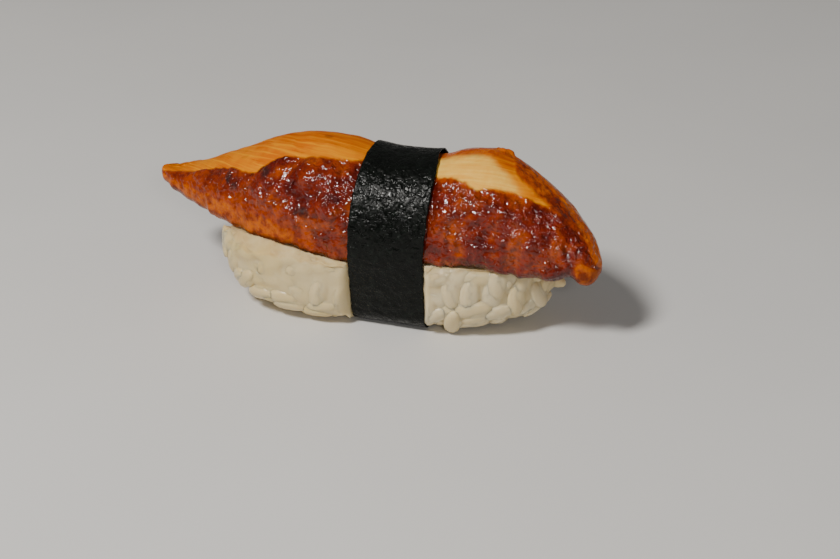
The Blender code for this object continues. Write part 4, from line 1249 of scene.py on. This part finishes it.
def eel_material(settings):
    """Sticky glaze over golden flesh: shares stored on the mesh, broken up by finer noise.

    The glaze has a glossy coat, pebbled by bumps. The strip is nearly matt, and ridged along its fibres.
    """
    n = Nodes("eel_glaze")
    place = n.place()
    flow = n.add("ShaderNodeUVMap", uv_map="flow").outputs["UV"]
    strands = n.add("ShaderNodeMapping", Vector=flow, Scale=(0.8, 12.0, 1.0)).outputs["Vector"]
    broad = n.noise(place, 5.0 * MM, 4.0)
    mid = n.noise(place, 1.6 * MM, 4.0, 0.6)
    fine = n.noise(place, 0.85 * MM, 0.6, 0.4, 0.8)
    fibre = n.noise(strands, 1.0, 3.0, 0.55, 0.3)
    strip = n.value("strip")
    glaze = glaze_colours(n, settings, broad, mid)
    colour = n.mix(strip, glaze, strip_colours(n, settings, broad, mid, fibre))
    char = n.times(n.value("char"), n.steps(mid, (0.30, 1.0), (0.70, 0.62)))
    colour = n.mix(char, colour, settings.char_colour)
    colour = n.mix(n.times(n.value("under"), 0.6), colour, settings.amber_colour)
    rough = n.mix(strip, n.steps(fine, (0.3, 0.22), (0.7, 0.40)), n.steps(fibre, (0.3, 0.50), (0.7, 0.40)))
    thinned = n.steps(n.value("thin"), (0.3, 1.0), (1.0, 0.45))
    ridged = n.bump(fibre, 0.10 * MM, 0.6)
    grained = n.bump(n.noise(place, 2.0 * MM, 0.5, 0.4, 0.5), 0.50 * MM, thinned)
    tilted = n.mix_ways(strip, n.bump(fine, 0.38 * MM, thinned, grained), ridged)
    return n.dress(
        Base_Color=colour,
        Roughness=rough,
        Specular_IOR_Level=0.04,
        Subsurface_Weight=0.12,
        Subsurface_Radius=(1.0, 0.40, 0.15),
        Subsurface_Scale=1.4 * MM,
        Coat_Weight=n.times(thinned, n.steps(strip, (0.2, 0.85), (0.8, 0.03))),
        Coat_Roughness=0.06,
        Normal=tilted,
        Coat_Normal=tilted,
    )


def nori_material(settings):
    """Toasted seaweed: nearly black green, pressed from shreds, with many small glossy facets."""
    n = Nodes("nori_sheet")
    place = n.place()
    shreds = n.noise(place, 1.1 * MM, 5.0, 0.65, 0.6)
    flecks = n.noise(place, 0.7 * MM, 1.0, 0.5, 1.2)
    dark = darker(settings.colour, 0.45)
    coarse = n.bump(n.noise(place, 2.2 * MM, 1.0, 0.5, 0.8), 0.40 * MM)
    return n.dress(
        Base_Color=n.steps(shreds, (0.32, dark), (0.55, settings.colour), (0.78, settings.fleck_colour)),
        Roughness=n.steps(flecks, (0.40, 0.16), (0.60, 0.40)),
        Specular_IOR_Level=0.17,
        Normal=n.bump(flecks, 0.16 * MM, 1.0, coarse),
    )


def rice_material(name, settings, depth):
    """Moist cooked rice: translucent warm white, a little different from grain to grain.

    Where it reaches the fillet, sauce stains it and painted contact shade darkens it, and it is nearly matt.
    Depth is how far light travels in it.
    """
    n = Nodes(name)
    place = n.place()
    cloud = n.noise(place, 3.0 * MM, 3.0)
    grit = n.noise(place, 0.4 * MM, 2.0)
    stain_and_shade = n.value("stain_and_shade")
    shade = n.math("MULTIPLY_ADD", n.value("tone"), 0.8, n.times(cloud, 0.3))
    colour = n.mix(shade, settings.shade_colour, settings.colour)
    # Sauce stain and painted contact shade: a darker, browner colour where the rice meets the fillet's rims.
    sauce = n.times(stain_and_shade, n.steps(cloud, (0.35, 0.1), (0.60, 0.5)))
    return n.dress(
        Base_Color=n.mix(sauce, colour, settings.stain_and_shade_colour),
        Specular_IOR_Level=n.steps(stain_and_shade, (0.0, 0.3), (1.0, 0.05)),
        Roughness=n.steps(grit, (0.3, 0.26), (0.7, 0.42)),
        Subsurface_Weight=0.80,
        Subsurface_Radius=(1.0, 0.98, 0.94),
        Subsurface_Scale=depth,
        Coat_Weight=n.steps(stain_and_shade, (0.0, 0.18), (1.0, 0.0)),
        Coat_Roughness=0.20,
        Normal=n.bump(grit, 0.05 * MM, 0.5),
    )


def floor_material(settings):
    """Pale matt board with a faint unevenness of tone."""
    n = Nodes("pale_floor")
    cloud = n.noise(n.place(), 60.0 * MM, 3.0)
    pale = settings.floor_colour
    return n.dress(
        Base_Color=n.steps(cloud, (0.3, darker(pale, 0.97)), (0.7, pale)),
        Roughness=n.steps(cloud, (0.3, 0.58), (0.7, 0.66)),
    )


# ---------------------------------------------------------------------------------------------------
# Stage


def build_floor(settings):
    """A wide flat floor: a square grid of points at height 0."""
    side = np.linspace(-FLOOR_REACH, FLOOR_REACH, FLOOR_STEPS)
    x, y = np.meshgrid(side, side, indexing="ij")
    grid = np.stack([x, y, np.zeros_like(x)], axis=-1)
    mesh = fill_mesh("floor", grid.reshape(-1, 3), grid_faces(FLOOR_STEPS, FLOOR_STEPS, False))
    floor = bpy.data.objects.new("floor", mesh)
    bpy.context.scene.collection.objects.link(floor)
    mesh.materials.append(floor_material(settings))
    return floor


def add_soft_light(name, power, direction, distance, size, colour):
    """A square area light that looks at the part from a direction."""
    light = bpy.data.lights.new(name, "AREA")
    light.shape = "SQUARE"
    light.size = size
    light.energy = power
    light.color = colour
    lamp = bpy.data.objects.new(name, light)
    bpy.context.scene.collection.objects.link(lamp)
    towards = Vector(direction).normalized()
    lamp.location = towards * distance
    lamp.rotation_euler = towards.to_track_quat("Z", "Y").to_euler()


def build_stage(settings):
    """Floor, two soft studio lights, pale surroundings and the camera."""
    build_floor(settings)
    add_soft_light("key_light", settings.key_power, *KEY_LIGHT)
    add_soft_light("fill_light", settings.fill_power, *FILL_LIGHT)
    world = bpy.data.worlds.new("surroundings")
    world.use_nodes = True
    sky = world.node_tree.nodes["Background"]
    sky.inputs["Color"].default_value = SKY_COLOUR
    sky.inputs["Strength"].default_value = settings.sky_strength
    bpy.context.scene.world = world
    add_camera()


def add_camera():
    """Camera at its azimuth and elevation round the part, looking at the target."""
    data = bpy.data.cameras.new("camera")
    data.sensor_width = SENSOR_WIDTH
    data.lens = CAMERA_LENS
    data.clip_start, data.clip_end = CAMERA_RANGE
    camera = bpy.data.objects.new("camera", data)
    bpy.context.scene.collection.objects.link(camera)
    level = math.cos(CAMERA_ELEVATION)
    back = Vector((
        math.sin(CAMERA_AZIMUTH) * level,
        -math.cos(CAMERA_AZIMUTH) * level,
        math.sin(CAMERA_ELEVATION),
    ))
    camera.location = Vector(CAMERA_TARGET) + Vector(SHIFT) + back * CAMERA_DISTANCE
    camera.rotation_euler = back.to_track_quat("Z", "Y").to_euler()
    bpy.context.scene.camera = camera


# ---------------------------------------------------------------------------------------------------
# Add-on


def colour_property(name, description, default):
    """A colour setting, in linear light."""
    return FloatVectorProperty(
        name=name, description=description, default=default, subtype="COLOR", size=3, min=0.0, max=1.0,
    )


def length_property(name, description, default):
    """A length setting, in metres."""
    return FloatProperty(
        name=name, description=description, default=default, subtype="DISTANCE", unit="LENGTH", precision=5,
    )


def power_property(name, description, default):
    """A lamp's power setting, in watts."""
    return FloatProperty(name=name, description=description, default=default, min=0.0, unit="POWER")


class EelSettings(bpy.types.PropertyGroup):
    """Relief and colours of the fillet."""

    relief: FloatProperty(
        name="Relief", description="Share of the fine relief",
        default=1.0, min=0.0, max=2.0, subtype="FACTOR",
    )
    glaze_colour: colour_property("Glaze", "Dark red sauce where it lies thick", (0.088, 0.003, 0.001))
    russet_colour: colour_property("Russet", "Brown sauce over most of the fillet", (0.195, 0.013, 0.001))
    amber_colour: colour_property("Amber", "Orange sauce where it lies thin", (0.42, 0.064, 0.0))
    gold_colour: colour_property("Gold", "Cut face of the flesh", (0.60, 0.140, 0.0))
    straw_colour: colour_property("Straw", "Lighter fibres of the cut face", (0.76, 0.265, 0.0))
    cream_colour: colour_property("Cream", "Palest part of the cut face", (0.93, 0.57, 0.11))
    char_colour: colour_property("Char", "Charred patches", (0.030, 0.010, 0.010))


class NoriSettings(bpy.types.PropertyGroup):
    """Sheet and colours of the band."""

    thickness: length_property("Thickness", "Thickness of the sheet", 0.2 * MM)
    crinkle: length_property("Crinkle", "Height of the sheet's crinkles", 1.0 * MM)
    colour: colour_property("Colour", "Toasted sheet", (0.0035, 0.0045, 0.0035))
    fleck_colour: colour_property("Flecks", "Lighter shreds in the sheet", (0.010, 0.014, 0.011))


class RiceSettings(bpy.types.PropertyGroup):
    """Grains and colours of the rice."""

    grain_length: length_property("Grain length", "Length of a cooked grain", 6.5 * MM)
    grain_width: length_property("Grain width", "Width of a cooked grain", 3.3 * MM)
    grain_depth: length_property("Grain depth", "Depth of a cooked grain", 2.9 * MM)
    grain_count: IntProperty(
        name="Grains", description="Grains scattered over the rice", default=230, min=50, max=1200,
    )
    colour: colour_property("Colour", "Clear grains", (0.70, 0.60, 0.39))
    shade_colour: colour_property("Shade", "Duller grains", (0.66, 0.50, 0.22))
    # A sauce stain together with painted contact shade, where the rice meets the fillet.
    stain_and_shade_colour: colour_property("Stain", "Rice that touches the fillet's sauce", (0.50, 0.30, 0.10))


class StageSettings(bpy.types.PropertyGroup):
    """Floor and light."""

    floor_colour: colour_property("Floor", "Pale floor", (0.74, 0.73, 0.71))
    key_power: power_property("Key light", "Power of the key light", 3.5)
    fill_power: power_property("Fill light", "Power of the fill light", 1.1)
    sky_strength: FloatProperty(
        name="Surroundings", description="Strength of the pale surroundings", default=0.13, min=0.0,
    )


class NIGIRI_OT_eel(bpy.types.Operator):
    """Build the glazed eel fillet"""

    bl_idname = "nigiri.eel"
    bl_label = "Eel fillet"

    def execute(self, context):
        build_eel(context.scene.nigiri_eel)
        return {"FINISHED"}


class NIGIRI_OT_nori(bpy.types.Operator):
    """Build the band of nori"""

    bl_idname = "nigiri.nori"
    bl_label = "Nori band"

    def execute(self, context):
        build_nori(context.scene.nigiri_nori)
        return {"FINISHED"}


class NIGIRI_OT_rice(bpy.types.Operator):
    """Build the pressed rice: its sticky core and its grains"""

    bl_idname = "nigiri.rice"
    bl_label = "Rice"

    def execute(self, context):
        build_core(context.scene.nigiri_rice)
        build_grains(context.scene.nigiri_rice)
        return {"FINISHED"}


class NIGIRI_OT_stage(bpy.types.Operator):
    """Set the floor, the lights and the camera"""

    bl_idname = "nigiri.stage"
    bl_label = "Stage"

    def execute(self, context):
        build_stage(context.scene.nigiri_stage)
        return {"FINISHED"}


class NIGIRI_PT_panel(bpy.types.Panel):
    """Settings and steps of the nigiri"""

    bl_idname = "NIGIRI_PT_panel"
    bl_label = "Eel nigiri"
    bl_space_type = "VIEW_3D"
    bl_region_type = "UI"
    bl_category = "Nigiri"

    def draw(self, context):
        for operator, settings in STEPS:
            box = self.layout.box()
            group = getattr(context.scene, settings)
            for name in group.bl_rna.properties.keys():
                if name not in ("rna_type", "name"):
                    box.prop(group, name)
            box.operator(operator)


STEPS = (
    ("nigiri.eel", "nigiri_eel"),
    ("nigiri.nori", "nigiri_nori"),
    ("nigiri.rice", "nigiri_rice"),
    ("nigiri.stage", "nigiri_stage"),
)
SETTINGS = {
    "nigiri_eel": EelSettings,
    "nigiri_nori": NoriSettings,
    "nigiri_rice": RiceSettings,
    "nigiri_stage": StageSettings,
}
OPERATORS = (NIGIRI_OT_eel, NIGIRI_OT_nori, NIGIRI_OT_rice, NIGIRI_OT_stage)


def register():
    """Register the classes and hang the settings on the scene."""
    for kind in (*SETTINGS.values(), *OPERATORS, NIGIRI_PT_panel):
        bpy.utils.register_class(kind)
    for name, kind in SETTINGS.items():
        setattr(bpy.types.Scene, name, PointerProperty(type=kind))


def unregister():
    """Take the settings and the classes away again."""
    for name in SETTINGS:
        delattr(bpy.types.Scene, name)
    for kind in (NIGIRI_PT_panel, *reversed(OPERATORS), *SETTINGS.values()):
        bpy.utils.unregister_class(kind)


def main():
    """Build every piece and the stage."""
    register()
    bpy.ops.nigiri.eel()
    bpy.ops.nigiri.nori()
    bpy.ops.nigiri.rice()
    bpy.ops.nigiri.stage()
    bpy.context.view_layer.update()


if __name__ == "__main__":
    main()
